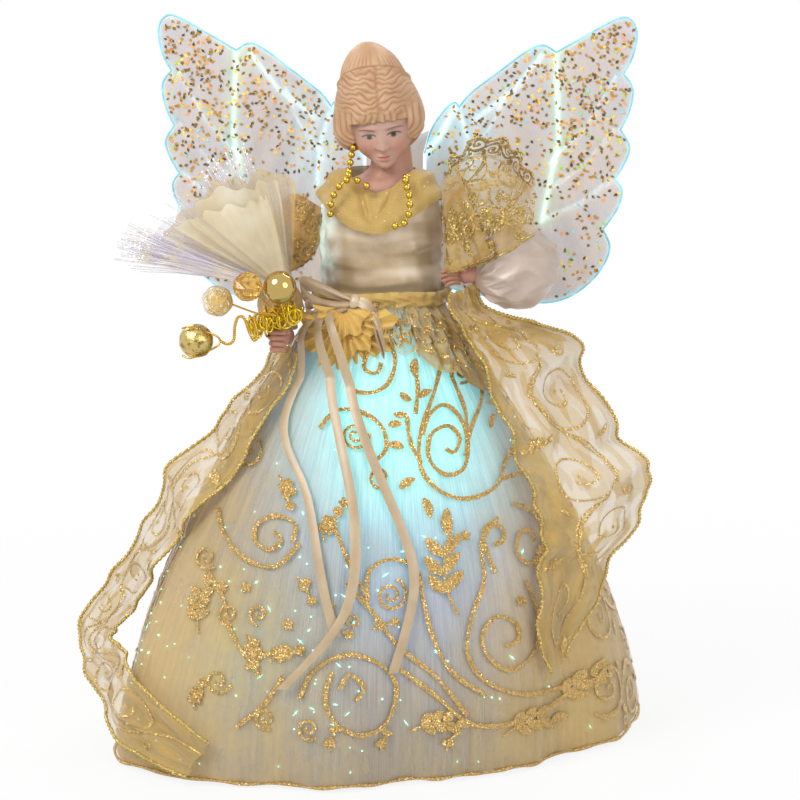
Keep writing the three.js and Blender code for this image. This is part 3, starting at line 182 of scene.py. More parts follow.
def frames_along(line):
    """Two normals for each point of a line, turned as little as can be from point to point."""
    tangent = unit(np.gradient(line, axis=0))
    start = np.cross(tangent[0], UP if abs(tangent[0][2]) < 0.9 else vec(1, 0, 0))
    side = [start / np.linalg.norm(start)]
    for k in range(1, len(line)):
        kept = side[-1] - tangent[k] * side[-1].dot(tangent[k])
        side.append(kept / max(np.linalg.norm(kept), 1e-9))
    side = np.array(side)
    return side, np.cross(tangent, side)


def tube_mesh(line, radius, sides=6, capped=True):
    """Points and faces of a round tube along a line; radius is one value or one for each point."""
    line = np.asarray(line, float)
    side, lift = frames_along(line)
    reach = np.broadcast_to(radius, len(line))[:, None, None]
    turn = np.arange(sides) / sides * FULL
    ring = np.cos(turn)[None, :, None] * side[:, None] + np.sin(turn)[None, :, None] * lift[:, None]
    faces = grid_faces(len(line), sides, True)
    if capped:
        faces += [list(range(sides))[::-1], list(range((len(line) - 1) * sides, len(line) * sides))]
    return (line[:, None] + reach * ring).reshape(-1, 3), faces


def wavy(radius, share, pace, count):
    """A radius for each of count points that swells and thins by a share of it."""
    return radius * (1 + share * np.sin(np.arange(count) * pace))


def many(parts):
    """Joins [(points, faces)] whose faces count from nought into one pair."""
    points, faces, count = [], [], 0
    for some, there in parts:
        points.append(some)
        faces += [[corner + count for corner in face] for face in there]
        count += len(some)
    return np.concatenate(points), faces


def round_rays(turn, fall):
    """Unit directions: a row round each fall from the top, then the top and the bottom."""
    turn, fall = np.meshgrid(turn, fall)
    rays = np.stack([np.sin(fall) * np.cos(turn), np.sin(fall) * np.sin(turn), np.cos(fall)], -1)
    return np.concatenate([rays.reshape(-1, 3), [[0, 0, 1], [0, 0, -1]]])


def round_faces(rows, around):
    """Faces of a closed shell on such directions."""
    faces = grid_faces(rows, around, True)
    top, low, last = rows * around, rows * around + 1, (rows - 1) * around
    for k in range(around):
        after = (k + 1) % around
        faces += [[top, after, k], [low, last + k, last + after]]
    return faces


def ball(radius, around=16, down=10):
    rays = round_rays(np.arange(around) / around * FULL, np.linspace(0, math.pi, down + 1)[1:-1])
    return rays * radius, round_faces(down - 1, around)


def spline(rows, k, t):
    """The smooth curve through rows of values, a share t of the way from row k to the next one."""
    a, b = rows[np.maximum(k - 1, 0)], rows[k]
    c, d = rows[k + 1], rows[np.minimum(k + 2, len(rows) - 1)]
    return b + 0.5 * t * (c - a + t * (2 * a - 5 * b + 4 * c - d + t * (3 * (b - c) + d - a)))


def smooth_line(points, count):
    """Evenly spaced points on a smooth curve through some chosen points."""
    points = np.asarray(points, float)
    t = np.linspace(0, 1, 24, endpoint=False)[:, None]
    fine = np.concatenate([*(spline(points, k, t) for k in range(len(points) - 1)), points[-1:]])
    reach = np.concatenate([[0], np.cumsum(np.linalg.norm(np.diff(fine, axis=0), axis=1))])
    even = np.linspace(0, reach[-1], count)
    return np.stack([np.interp(even, reach, fine[:, axis]) for axis in range(fine.shape[1])], -1)


def smooth_columns(rows, share):
    """The columns of a table, each read along a smooth curve for an array of shares from 0 to 1."""
    rows = np.asarray(rows, float)
    place = np.minimum(share * (len(rows) - 1), len(rows) - 1 - 1e-6)
    k = place.astype(int)
    return np.moveaxis(spline(rows, k, (place - k)[..., None]), -1, 0)


# Making materials
class Look:
    """A new material with one Principled shader, and short ways to add nodes to it."""

    def __init__(self, name):
        self.made = bpy.data.materials.new(name)
        self.made.use_nodes = True
        self.tree = self.made.node_tree
        self.shader = self.tree.nodes["Principled BSDF"]

    def put(self, socket, value):
        if isinstance(value, bpy.types.NodeSocket):
            self.tree.links.new(value, socket)
        elif hasattr(value, "__len__") and len(value) == 3 and socket.type == "RGBA":
            socket.default_value = (*value, 1)
        else:
            socket.default_value = value

    def add(self, kind, inputs=(), out=0, **settings):
        made = self.tree.nodes.new("ShaderNode" + kind)
        for key, value in settings.items():
            setattr(made, key, value)
        for key, value in dict(inputs).items():
            self.put(made.inputs[key], value)
        return made.outputs[out]

    def set(self, **inputs):
        for key, value in inputs.items():
            self.put(self.shader.inputs[key.replace("_", " ")], value)
        return self.made

    def place(self, stretch=(1, 1, 1)):
        """The object's own coordinates in millimetres."""
        return self.add("Mapping", {"Vector": self.add("TexCoord", out="Object"), "Scale": vec(*stretch) / MM})

    def uv(self, *stretch, **more):
        return self.add("Mapping", {"Vector": self.add("TexCoord", out="UV"), "Scale": (*stretch, 1), **more})

    def axis(self, number, spot=None):
        return self.add("SeparateXYZ", {0: spot or self.place()}, out=number)

    def channel(self, number, colour):
        return self.add("SeparateColor", {0: colour}, out=number)

    def tone(self):
        return self.add("Attribute", attribute_name="tone")

    def noise(self, spot, size, detail=2.0, rough=0.5):
        """Noise from 0 to 1 whose blots are about size across."""
        return self.add("TexNoise", {"Vector": spot, "Scale": 1 / size, "Detail": detail, "Roughness": rough})

    def cells(self, spot, size, out="Color"):
        return self.add("TexVoronoi", {"Vector": spot, "Scale": 1 / size}, out=out)

    def math(self, kind, a, b=0.0, c=0.0):
        return self.add("Math", {0: a, 1: b, 2: c}, operation=kind)

    def times(self, a, b):
        return self.math("MULTIPLY", a, b)

    def plus(self, a, b):
        return self.math("ADD", a, b)

    def scaled(self, vector, size):
        return self.add("VectorMath", {0: vector, "Scale": size}, operation="SCALE")

    def gap(self, spot, centre):
        return self.add("VectorMath", {0: spot, 1: centre}, operation="DISTANCE", out=1)

    def ramp(self, value, *stops):
        """A colour ramp from (place, colour) stops."""
        made = self.tree.nodes.new("ShaderNodeValToRGB")
        self.put(made.inputs[0], value)
        elements = made.color_ramp.elements
        while len(elements) < len(stops):
            elements.new(0.5)
        for element, (place, colour) in zip(elements, stops):
            element.position, element.color = place, (*colour, 1)
        return made.outputs[0]

    def share(self, value, low, high, least=0.0, most=1.0):
        """A value between low and high as a share between least and most, held there outside them."""
        return self.add("MapRange", {0: value, 1: low, 2: high, 3: least, 4: most})

    def blend(self, share, a, b):
        return self.add("Mix", {0: share, 6: a, 7: b}, out=2, data_type="RGBA")

    def rough(self, height, distance=0.1, strength=1.0):
        """A bump from a height, whose full step is distance in millimetres."""
        return self.add("Bump", {"Height": height, "Distance": distance * MM, "Strength": strength})

    def sparkle(self, spot, size, tilt):
        """A normal that is tipped another way on every small flake."""
        flake = self.add("VectorMath", {0: self.cells(spot, size), 1: (0.5, 0.5, 0.5)}, operation="SUBTRACT")
        normal = self.add("NewGeometry", out="Normal")
        summed = self.add("VectorMath", {0: normal, 1: self.scaled(flake, tilt)}, operation="ADD")
        return self.add("VectorMath", {0: summed}, operation="NORMALIZE")


def glitter_look(name, dark, light, flake=0.42, edge=None):
    """Gold glitter glue: loose bright flakes, with grainy edges where a stroke gives its uv."""
    look, dark, light = Look(name), paint(*dark), paint(*light)
    spot = look.place()
    tone = look.channel(1, look.cells(spot, flake))
    colour = look.ramp(tone, (0.0, dark), (0.55, mix(dark, light, 0.5)), (0.93, light), (1.0, paint(255, 246, 214)))
    look.set(Base_Color=colour, Metallic=0.75, Roughness=0.32, Normal=look.sparkle(spot, flake, 1.5))
    if edge:
        across = look.math("ABSOLUTE", look.axis(1, look.add("TexCoord", out="UV")))
        inside = look.times(look.math("SUBTRACT", 1.0, across), edge)
        look.set(Alpha=look.math("GREATER_THAN", look.plus(inside, look.noise(spot, flake, 1.0)), 0.62))
    return look.made


def organza_look(name, colour, shade, alpha, streak=(0.9, 0.06), gathered=None, thin=None, layers=None):
    """Sheer crisp cloth: fine threads both ways, a soft shine, and more body where noise gathers it.

    gathered is (low, high, colour) where cloth lies denser with height, thin is (centre, inner, outer) of a spot
    worn by light, and layers is (alpha, colour) of blots where the cloth lies doubled."""
    look, colour, shade = Look(name), paint(*colour), paint(*shade)
    weave = look.uv(10, 10)
    thread_u, thread_v = (
        look.add("TexWave", {"Vector": weave, "Scale": 1.1, "Distortion": 0.6}, bands_direction=way) for way in "XY")
    streaks = look.noise(look.uv(1 / streak[1] / 10, 1 / streak[0] / 10), 1.0, 4.0, 0.6)
    clouds = look.noise(look.place(), 14.0, 3.0)
    body = look.share(look.plus(look.times(streaks, 0.6), look.times(clouds, 0.5)), 0.3, 0.8)
    toned = look.blend(body, shade, colour)
    solid = look.share(body, 0.0, 1.0, *alpha)
    if gathered:
        low, high, deep = gathered
        dense = look.share(look.axis(2), low, high)
        toned = look.blend(dense, toned, look.blend(body, paint(*deep), shade))
        solid = look.math("MAXIMUM", solid, look.times(dense, 0.92))
    if thin:
        centre, inner, outer = thin
        squeeze = vec(1, 0.3, 0.4)
        gap = look.gap(look.place(squeeze), vec(*centre) * squeeze)
        solid = look.times(solid, look.math("MULTIPLY_ADD", look.share(gap, inner, outer), 0.95, 0.35))
    if layers:
        doubled = 0.0
        for k, (along, across) in enumerate(((26, 9), (17, 6))):
            spot = look.uv(10 / along, 10 / across, Location=(3.7 * k, 1.3 * k, 0.0))
            doubled = look.plus(doubled, look.share(look.noise(spot, 1.0, 0.5), 0.5, 0.53))
        solid = look.math("MULTIPLY_ADD", doubled, layers[0], solid)
        toned = look.blend(look.times(doubled, 0.4), toned, paint(*layers[1]))
    weft = look.plus(look.plus(thread_u, thread_v), look.times(streaks, 3.0))
    return look.set(Base_Color=toned, Roughness=0.5, Alpha=solid, Normal=look.rough(weft, 0.12, 0.6),
                    Sheen_Weight=0.5, Sheen_Roughness=0.3)


def satin_look(name, colour, shade, glow=None, painted_shade_and_highlight=None):
    """Satin: a tight smooth weave with a broad soft shine along the folds. Given two colours, it also paints broad
    waves of shade and highlight across itself.
    """
    look, colour, shade = Look(name), paint(*colour), paint(*shade)
    threads = look.noise(look.uv(12, 40), 1.0, 3.0, 0.6)
    clouds = look.noise(look.place(), 9.0, 2.0)
    body = look.share(look.plus(look.times(threads, 0.5), look.times(clouds, 0.5)), 0.3, 0.7)
    toned = look.blend(body, shade, colour)
    if painted_shade_and_highlight:
        # broad waves of painted shade and painted highlight, standing in for light on the folds
        wave = look.noise(look.uv(0.16, 0.95, Rotation=(0, 0, 0.1)), 1.0, 1.5, 0.4)
        toned = look.blend(look.share(wave, 0.34, 0.52), look.blend(0.55, toned, paint(*painted_shade_and_highlight[0])), toned)
        toned = look.blend(look.share(wave, 0.52, 0.66), toned, paint(*painted_shade_and_highlight[1]))
    look.set(Base_Color=toned, Roughness=0.33, Sheen_Weight=0.35, Sheen_Roughness=0.25, Specular_IOR_Level=0.65,
             Normal=look.rough(threads, 0.05, 0.5))
    if glow:
        glow(look)
    return look.made


def metal_look(name, colour, roughness, grain=None, patina=None):
    look, colour = Look(name), paint(*colour)
    spot = look.place()
    fine = look.noise(spot, 1.2, 3.0)
    look.set(Base_Color=look.blend(fine, colour * 0.86, colour), Metallic=1.0,
             Roughness=look.share(fine, 0.3, 0.7, roughness * 0.8, roughness * 1.3))
    if grain:
        look.set(Normal=look.rough(look.noise(spot, grain[0], 5.0, 0.7), grain[1], 1.0))
    if patina:
        worn = look.share(look.noise(spot, 2.6, 6.0, 0.7), 0.5, 0.62)
        look.set(Base_Color=look.blend(worn, colour, paint(*patina)))
    return look.made


def plastic_look(name, colour, roughness, grain=0.03):
    look, colour = Look(name), paint(*colour)
    spot = look.place()
    fine = look.noise(spot, 0.35, 2.0)
    blots = look.share(look.noise(spot, 9.0, 3.0), 0.35, 0.65)
    return look.set(Base_Color=look.blend(blots, colour * 0.95, colour), Specular_IOR_Level=0.45,
                    Roughness=look.share(fine, 0.3, 0.7, roughness * 0.85, roughness * 1.15),
                    Normal=look.rough(fine, grain, 0.5))


def tulle_look(name, colour, shade, solid=1.0):
    """Fine net folded many times over: even, soft, with tiny bright flecks, and a faint glow of its own colour that is
    painted light on its shaded insides.
    """
    look, colour, shade = Look(name), paint(*colour), paint(*shade)
    spot = look.place()
    clouds = look.share(look.noise(spot, 8.0, 3.0), 0.35, 0.65)
    net = look.noise(look.uv(22, 22), 1.0, 2.0)
    flecks = look.share(look.channel(0, look.cells(spot, 0.55)), 0.994, 0.999)
    toned = look.blend(look.share(net, 0.3, 0.7), shade, colour)
    toned = look.blend(clouds, look.blend(0.25, toned, shade), toned)
    # the faint emission is painted light, lifting the shade inside the folds
    return look.set(Base_Color=look.blend(flecks, toned, paint(255, 244, 206)), Roughness=0.62, Sheen_Weight=0.5,
                    Sheen_Roughness=0.4, Alpha=solid, Emission_Color=colour, Emission_Strength=0.05,
                    Normal=look.rough(net, 0.08, 0.6))


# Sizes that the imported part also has, in millimetres
skirt_foot, waist = (corner[2] for corner in box_mm("skirt"))
hem_radius, waist_radius, flare_power = 112.0, 24.0, 1.6
long_share, short_share, gown_turn = 1.07, 0.75, math.radians(33)
fold_depth, fold_count, fold_fine_count = 3.2, 8, 13
shoulder = 224.0
plate_foot = 234.3


def skirt_radius(turn, z):
    rise = np.clip(z / waist, 0, 1)
    plain = mix(hem_radius, waist_radius, rise**flare_power)
    along = turn - gown_turn
    share = 1 / np.hypot(np.cos(along) / long_share, np.sin(along) / short_share)
    wave = 0.6 * np.cos(fold_count * turn + 0.4) + 0.4 * np.cos(fold_fine_count * turn + 2)
    return plain * mix(share, 1, rise) + fold_depth * (1 - rise) * wave


def oval(width, depth, turn, z):
    """Points round an upright oval."""
    return np.stack(np.broadcast_arrays(width * np.cos(turn), depth * np.sin(turn), z), -1)


def on_skirt(turn, z, stand=0.0):
    radius = skirt_radius(turn, z) + stand
    return oval(radius, radius, turn, z)


def gathers(turn, rise):
    """Small gathers that run down from the waist and die out towards the hem."""
    fade = 0.25 + 0.75 * rise
    return fade * (0.35 * np.sin(61 * turn + 4 * rise) + 0.25 * np.sin(97 * turn + 1.7) * rise)


# Camera, at the photograph's angle, and the studio
camera_turn, camera_rise, camera_distance = math.radians(8), math.radians(10), 1200.0
camera_target = vec(7.9, 1.1, 144)
camera_back = toward(camera_turn, camera_rise)
view_width = 342.0
lamp_target = vec(0, 0, 0.15)
studio_lamps = [  # name, degrees of turn and rise, distance and size in metres, watts
    ("key", -38, 42, 1.3, 0.7, 10.0), ("fill", 48, 22, 1.5, 0.9, 6.0), ("back", 150, 50, 1.4, 0.7, 5.5),
    ("back_left", -140, 35, 1.5, 0.7, 4.0),
]
floor_reach, floor_drop = 4.0, 0.0003


def make_camera():
    lens = bpy.data.cameras.new("camera")
    lens.sensor_width = 36
    lens.sensor_fit = "HORIZONTAL"
    lens.lens = lens.sensor_width * camera_distance / view_width
    lens.clip_start, lens.clip_end = 0.01, 50
    place = (camera_target + camera_back * camera_distance) * MM
    bpy.context.scene.camera = put_facing("camera", lens, camera_back, place)


def seen_plainly(tree):
    """1 where the camera, a reflection or a clear material looks straight at a surface."""
    path = tree.nodes.new("ShaderNodeLightPath")
    total = path.outputs["Is Camera Ray"]
    for name in ("Is Glossy Ray", "Is Transmission Ray"):
        both = tree.nodes.new("ShaderNodeMath")
        both.operation = "MAXIMUM"
        tree.links.new(total, both.inputs[0])
        tree.links.new(path.outputs[name], both.inputs[1])
        total = both.outputs[0]
    return total


def make_studio():
    world = bpy.data.worlds.new("studio")
    bpy.context.scene.world = world
    world.use_nodes = True
    tree = world.node_tree
    back, shine = tree.nodes["Background"], tree.nodes.new("ShaderNodeBackground")
    for node, colour, strength in ((back, (0.93, 0.96, 1.0, 1), 0.36), (shine, (1, 1, 1, 1), 1.0)):
        node.inputs["Color"].default_value, node.inputs["Strength"].default_value = colour, strength
    both = tree.nodes.new("ShaderNodeMixShader")
    for k, output in enumerate((seen_plainly(tree), back.outputs[0], shine.outputs[0])):
        tree.links.new(output, both.inputs[k])
    tree.links.new(both.outputs[0], tree.nodes["World Output"].inputs["Surface"])

    look = Look("floor_white")
    look.set(Base_Color=(0.9, 0.9, 0.9), Roughness=0.9, Specular_IOR_Level=0.1)
    glow = look.add("Emission", {"Color": (1, 1, 1), "Strength": 1.0})
    far = look.add("VectorMath", {0: look.add("TexCoord", out="Object")}, operation="LENGTH", out=1)
    share = look.times(seen_plainly(look.tree), look.share(far, 0.14, 0.55, 0.86, 1.0))
    both = look.add("MixShader", {0: share, 1: look.shader.outputs[0], 2: glow})
    look.tree.links.new(both, look.tree.nodes["Material Output"].inputs["Surface"])
    mesh = bpy.data.meshes.new("floor")
    corners = [(x * floor_reach, y * floor_reach, 0) for x, y in ((-1, -1), (1, -1), (1, 1), (-1, 1))]
    mesh.from_pydata(corners, [], [(0, 1, 2, 3)])
    mesh.materials.append(look.made)
    floor = put_in_scene("floor", mesh)
    floor.location.z = -floor_drop

    for name, turn, rise, distance, size, power in studio_lamps:
        back = toward(math.radians(turn), math.radians(rise))
        lamp = bpy.data.lights.new(name, "AREA")
        lamp.shape, lamp.size, lamp.energy = "DISK", size, power
        put_facing(name, lamp, back, lamp_target + back * distance)


# Gown: colours as the eye reads them, sheer organza and a milky lining lit from inside
cream, honey = (240, 210, 138), (212, 174, 96)
champagne, champagne_shade = (204, 180, 146), (170, 146, 112)
glitter_dark, glitter_light = (158, 116, 54), (238, 206, 134)
lamp_glow = (19, -58, 149)
skirt_lift, lining_lift = 0.6, 0.9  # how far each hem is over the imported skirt's foot
glow_spots = {  # centre, inner and outer reach, in millimetres
    "high": (lamp_glow, 26, 76), "wide": ((24, -66, 118), 34, 96), "green": ((-40, -88, 52), 10, 62),
    "behind": ((-10, 60, 150), 10, 90),
}


def gown_glow(look, strength):
    """Light from the lamps inside: brightest high on the front, blue below it, green low on her right side."""
    spot = look.place()
    high, wide, green, behind = (
        look.math("SUBTRACT", 1.0, look.share(look.gap(spot, centre), inner, outer))
        for centre, inner, outer in glow_spots.values())
    streaks = look.share(look.noise(look.uv(12, 0.35), 1.0, 3.0, 0.6), 0.1, 0.7)
    lively = look.times(streaks, look.share(look.noise(spot, 26.0, 2.0), 0.15, 0.6))
    colour = look.blend(high, look.blend(wide, paint(150, 160, 190), paint(112, 182, 236)), paint(128, 252, 250))
    colour = look.blend(look.times(green, 0.6), colour, paint(96, 214, 176))
    total = high
    for part, power in ((wide, 0.4), (green, 0.22), (behind, 0.4)):
        total = look.math("MAXIMUM", total, look.times(part, power))
    power = look.times(look.math("MULTIPLY_ADD", lively, 0.6, 0.4), look.times(total, strength))
    look.set(Emission_Color=colour, Emission_Strength=power)


def lining_look():
    look = Look("lining")
    streaks = look.noise(look.uv(14, 0.3), 1.0, 4.0, 0.6)
    beige = look.share(look.math("ABSOLUTE", look.axis(0)), 40, 85)
    grey = look.ramp(streaks, (0.3, paint(140, 146, 158)), (0.7, paint(190, 192, 200)))
    look.set(Base_Color=look.blend(beige, grey, paint(228, 204, 160)), Roughness=0.45,
             Sheen_Weight=0.3, Normal=look.rough(streaks, 0.25, 0.7))
    gown_glow(look, 1.15)
    return look.made


def make_gown():
    organza = organza_look("gown_organza", cream, honey, (0.18, 0.58), thin=(lamp_glow, 30, 75))

    def skirt_at(u, v):
        turn = u * FULL
        return on_skirt(turn, mix(skirt_foot + skirt_lift, waist, v), gathers(turn, v) + 0.3)

    def lining_at(u, v):
        turn = u * FULL
        return on_skirt(turn, mix(skirt_foot + lining_lift, waist, v), gathers(turn, v) - mix(0.8, 1.3, v))

    cloth_piece("gown_skirt", skirt_at, (640, 90), organza, "gold_organza", True,
                ["skirt"])
    cloth_piece("gown_lining", lining_at, (420, 60), lining_look(), "lining_cloth", True,
                ["skirt_liner"])


# Glitter scrolls printed on cloth: strokes in a flat plan, laid on a surface by a chart
def stroke_strip(line, widths, chart):
    """A flat ribbon of glitter along a plan line, laid by a chart: points, faces, and uv from -1 to 1 across it."""
    tangent = unit(np.gradient(line, axis=0))
    across = np.stack([-tangent[:, 1], tangent[:, 0]], -1) * (np.broadcast_to(widths, len(line)) / 2)[:, None]
    plan = np.stack([line - across, line + across], 1).reshape(-1, 2)
    return chart(plan[:, 0], plan[:, 1]), grid_faces(len(line), 2), np.tile([[0.0, -1.0], [0.0, 1.0]], (len(line), 1))


def spiral(centre, start, turns, spin):
    """A plan line that winds in from its start point to near the centre."""
    out = np.asarray(start) - centre
    reach, angle = np.hypot(*out), math.atan2(out[1], out[0])
    t = np.linspace(0, 1, int(26 * turns))
    radius = reach * mix(1, 0.16, t**0.85)
    turn = angle + spin * turns * FULL * t
    return np.stack([centre[0] + radius * np.cos(turn), centre[1] + radius * np.sin(turn)], -1)


def arc(root, angle, length, bow, count):
    """A plan line with a slight bow to its side, and its shares from 0 to 1."""
    t = np.linspace(0, 1, count)
    along, side = vec(math.cos(angle), math.sin(angle)), vec(-math.sin(angle), math.cos(angle))
    return np.asarray(root) + length * (t[:, None] * along + (bow * np.sin(math.pi * t))[:, None] * side), t


def leaf(root, angle, length, width):
    line, t = arc(root, angle, length, 0.075, 9)
    return line, 1.25 * width * np.sin(math.pi * np.clip(t * 0.94 + 0.05, 0, 1)) ** 0.7


def sprig(root, angle, length, leaves, width):
    """A stem with pairs of leaves and one at its tip."""
    stem, _ = arc(root, angle, length, 0.12, 14)
    made = [(stem, width * 0.7)]
    for k in range(leaves):
        base = stem[4 + k * 9 // leaves]
        for turn in (0.75, -0.75):
            made.append(leaf(base, angle + turn, length * 0.33, width * 2.3))
    made.append(leaf(stem[-1], angle, length * 0.36, width * 2.3))
    return made


def running_scroll(reach, count, middle, height, width, phase):
    """A wavy stem with a spiral in each bay, leaves along it and small curls."""
    x = np.linspace(0, reach, count * 40)
    wave = reach / count
    stem = np.stack([x, middle + height * 0.55 * np.sin(x / wave * FULL + phase)], -1)
    made = [(stem, width * (1 + 0.15 * np.sin(x * 0.7)))]
    dot_turn = np.linspace(0, FULL, 9)
    dot = 0.315 * width * np.stack([np.cos(dot_turn), np.sin(dot_turn)], -1)
    for k in range(2 * count):
        side = 1 if k % 2 == 0 else -1
        top = wave * (k / 2 + 0.25 - phase / FULL)
        start = vec(top - wave / 4, middle)
        size = rng.uniform(0.85, 1.1)
        centre = vec(top + 0.02 * wave, middle - side * height * 0.32 * size)
        line = spiral(centre, start, rng.uniform(1.45, 1.9), -side)
        made.append((line, width * np.linspace(1.0, 0.8, len(line))))
        made.append((centre + dot, width * 0.8))
        for turn, far in ((0.9, 0.30), (2.2, 0.36)):
            root = centre + wave * far * vec(math.cos(turn * side), math.sin(turn * side))
            made.append(leaf(root, turn * side + rng.uniform(-0.3, 0.3), height * 0.42, width * 1.7))
        tip = vec(top + wave * 0.25, middle + side * height * 0.62)
        if k % 2 == 0:
            made += sprig(tip, side * 1.4 + rng.uniform(-0.2, 0.2), height * 0.75, 2, width * 0.8)
        else:
            curl = spiral(tip + vec(0, side * height * 0.22), tip, 1.3, side)
            made.append((curl, width * np.linspace(0.9, 0.7, len(curl))))
    return made


def glitter_piece(name, strokes, look):
    points, faces = many([stroke[:2] for stroke in strokes])
    mesh_piece(name, points, faces, look, "gold_organza", uv=np.concatenate([stroke[2] for stroke in strokes]))


def scroll_piece(name, rows, chart, look):
    """Running scrolls, one for each row of (reach, bays, middle, height, width, phase), on cloth by a chart."""
    glitter_piece(name, [stroke_strip(*stroke, chart) for row in rows for stroke in running_scroll(*row)], look)


scroll_rows = [  # height, bays, reach up and down, width of the stroke, phase
    (166, 6, 11, 1.5, 0.3), (136, 7, 15, 1.7, 1.9), (100, 8, 18, 1.9, 0.9), (60, 9, 20, 2.0, 2.6),
    (21, 11, 18, 2.0, 0.2),
]
scroll_steepness, scroll_stand, least_scroll_height = 0.86, 0.9, 2.0
front_turn, front_half, front_edge = camera_turn - math.pi / 2, 1.18, 1.4
# The large scrolls of the front, in millimetres across and up from the middle of the camera's view
front_lines = [
    [(19, 21), (14.7, 3.7), (9.6, -10.7), (8.1, -22), (10.3, -32), (19, -40), (30.5, -42), (42, -36), (46, -24),
     (55, -19)],
    [(9.6, -15), (12.5, -6.4), (19, -2), (26, -8), (29, -19.4), (27, -29.5), (19, -31.7), (12.5, -25), (13.2, -15),
     (20.4, -11), (25.5, -16), (23.3, -22.3), (19.6, -20.8)],
    [(42, -34), (55, -31), (71, -33)], [(46, -22), (58, -21), (71, -27)],
    [(34, 12), (30.5, 17.5), (25, 17), (22, 11.5), (25, 3.5), (28, -5), (28.5, -14)],
    [(34, 12), (35, 1), (30.5, -12), (28, -24)],
    [(-23, 5), (-14, 3), (-5.6, 6.6), (-2, 16.7), (-5.6, 25), (-12, 23), (-15.5, 14), (-10, 11.5), (-8, 16)],
    [(3, -7), (4.5, -18), (9, -27)], [(6.7, -6), (7.6, 5), (6.7, 14)],
    [(-34.5, -12), (-27, -4.5), (-17, -5), (-8, -11), (-6, -21), (-12, -27)],
    [(-43, -61), (-53, -71), (-66, -68), (-75, -58), (-78, -46)],
    [(-46, -61), (-45, -53), (-53, -49.5), (-61, -53), (-62, -60), (-56, -64), (-51, -60), (-54, -56)],
    [(42, -50), (35, -61), (36, -77), (30.5, -94), (29, -109), (38, -121), (55, -126), (75, -121)],
    [(54, -77), (59, -91), (58, -107), (48, -115.5), (38, -110), (35.6, -100), (42, -92.4), (50, -96), (50.5, -103),
     (45, -105)],
    [(48, -44), (57, -48), (62, -58), (57, -70), (50, -65), (52, -56), (57, -57), (57, -61)],
    [(40, -62), (44, -60), (44, -55), (39, -53), (35.5, -57), (37, -64), (41, -74)],
    [(-43, -128), (-37, -116), (-23, -109), (-8.5, -113), (-1.5, -123), (-5.6, -138), (-16, -143.5), (-27, -139),
     (-32, -128), (-29, -116)],
    [(-26, -124), (-21.5, -117.5), (-15.5, -123), (-19, -129)],
    [(0, -115), (14.7, -126), (32, -139), (55, -136), (78, -121)],
    [(-14, -87), (-13, -73), (-3, -68), (7.4, -73), (10.3, -87), (14.7, -103), (23, -117), (38, -127)],
    [(-23, -78), (-11, -91.6), (0, -106), (15, -118), (29, -135)],
    [(-30, -50), (-25, -62), (-20, -74), (-14, -84)], [(-82, -74), (-76, -84), (-72, -100), (-60, -118)],
    [(-66, -115), (-58, -109), (-50, -108)], [(-70, -140), (-58, -130), (-50, -118)],
]
front_rings = [  # middle, reach, turns
    ((27, 11.5), 4.4, 1.4), ((40, 2.5), 4.0, 1.3), ((-19.3, -15), 6.4, 1.9), ((-8.5, -33), 5.2, 1.5),
    ((-4, -83.5), 7.5, 1.8),
    ((-73.5, -91.5), 5.0, 1.5), ((-60.5, -91.5), 4.6, 1.4), ((-57.6, -136), 5.2, 1.5), ((-39, -140.5), 5.4, 1.5),
    ((-83, -67), 5.5, 1.5), ((66, -92), 5.0, 1.4), ((-66, -22), 10.0, 1.7), ((-78, -120), 6.0, 1.5),
    ((-20, -95), 3.6, 1.3),
]
front_leaves = [  # root, angle in degrees, length, width, pairs of leaves on its stem
    ((6.7, 10), 90, 8, 3.4, 0), ((5, 0), 148, 6, 2.8, 0), ((8, 1), 30, 6.5, 2.8, 0), ((3, -6), 178, 6, 2.6, 0),
    ((-5, -11), 8, 6, 3.0, 0), ((-5, -19), -12, 7, 3.2, 0), ((39, -12), 78, 7, 2.4, 0), ((43, -7), 80, 6, 2.2, 0),
    ((25, -92), 96, 34, 2.0, 3), ((10, -42), -70, 9, 3.6, 0), ((0, -38), 35, 8, 3.4, 0), ((-33, -60), 60, 12, 1.9, 2),
    ((66, -131), 30, 22, 1.6, 3), ((44, -144), 18, 22, 1.6, 3), ((-66, -100), -75, 12, 1.7, 2),
    ((-56, -112), 20, 12, 2.0, 2),
    ((-12, -98), 15, 9, 1.8, 1), ((4, -142), 8, 20, 1.6, 3), ((-30, -150), 75, 8, 2.0, 1), ((-8, -150), 70, 7, 2.0, 1),
    ((-86, -100), 80, 20, 1.5, 3), ((60, -75), 70, 14, 1.8, 2), ((-44, -76), -60, 10, 1.9, 1),
    ((20, -150), 60, 8, 1.8, 1),
    ((-88, -132), 70, 10, 1.8, 2), ((50, -8), -40, 8, 2.2, 0), ((62, -36), -60, 9, 2.2, 1),
    ((-52, -32), -70, 12, 1.7, 2),
]
front_flowers = [(-76, -80), (-66, -80), (-30, -88), (-22, -100), (52, -86), (-48, -96), (28, -58), (-24, -44),
(70, -108)]


def front_chart(across, up):
    """The gown's outside where the camera sees a spot that lies across and up from the middle of its view."""
    across, up = np.asarray(across, float), np.asarray(up, float)
    right = vec(math.cos(camera_turn), math.sin(camera_turn), 0)
    lift = np.cross(camera_back, right)
    turn, z = np.full(across.shape, front_turn), camera_target[2] + up
    for _ in range(16):
        spot = on_skirt(turn, z, scroll_stand) - camera_target
        shrink = 1 - spot @ camera_back / camera_distance
        reach = skirt_radius(turn, z) * np.maximum(np.cos(turn - front_turn), 0.25)
        turn = turn + (across * shrink - spot @ right) / reach
        turn = np.clip(turn, front_turn - front_edge, front_turn + front_edge)
        z = np.clip(z + (up * shrink - spot @ lift) / math.cos(camera_rise), 1.5, waist - 1)
    return on_skirt(turn, z, scroll_stand)


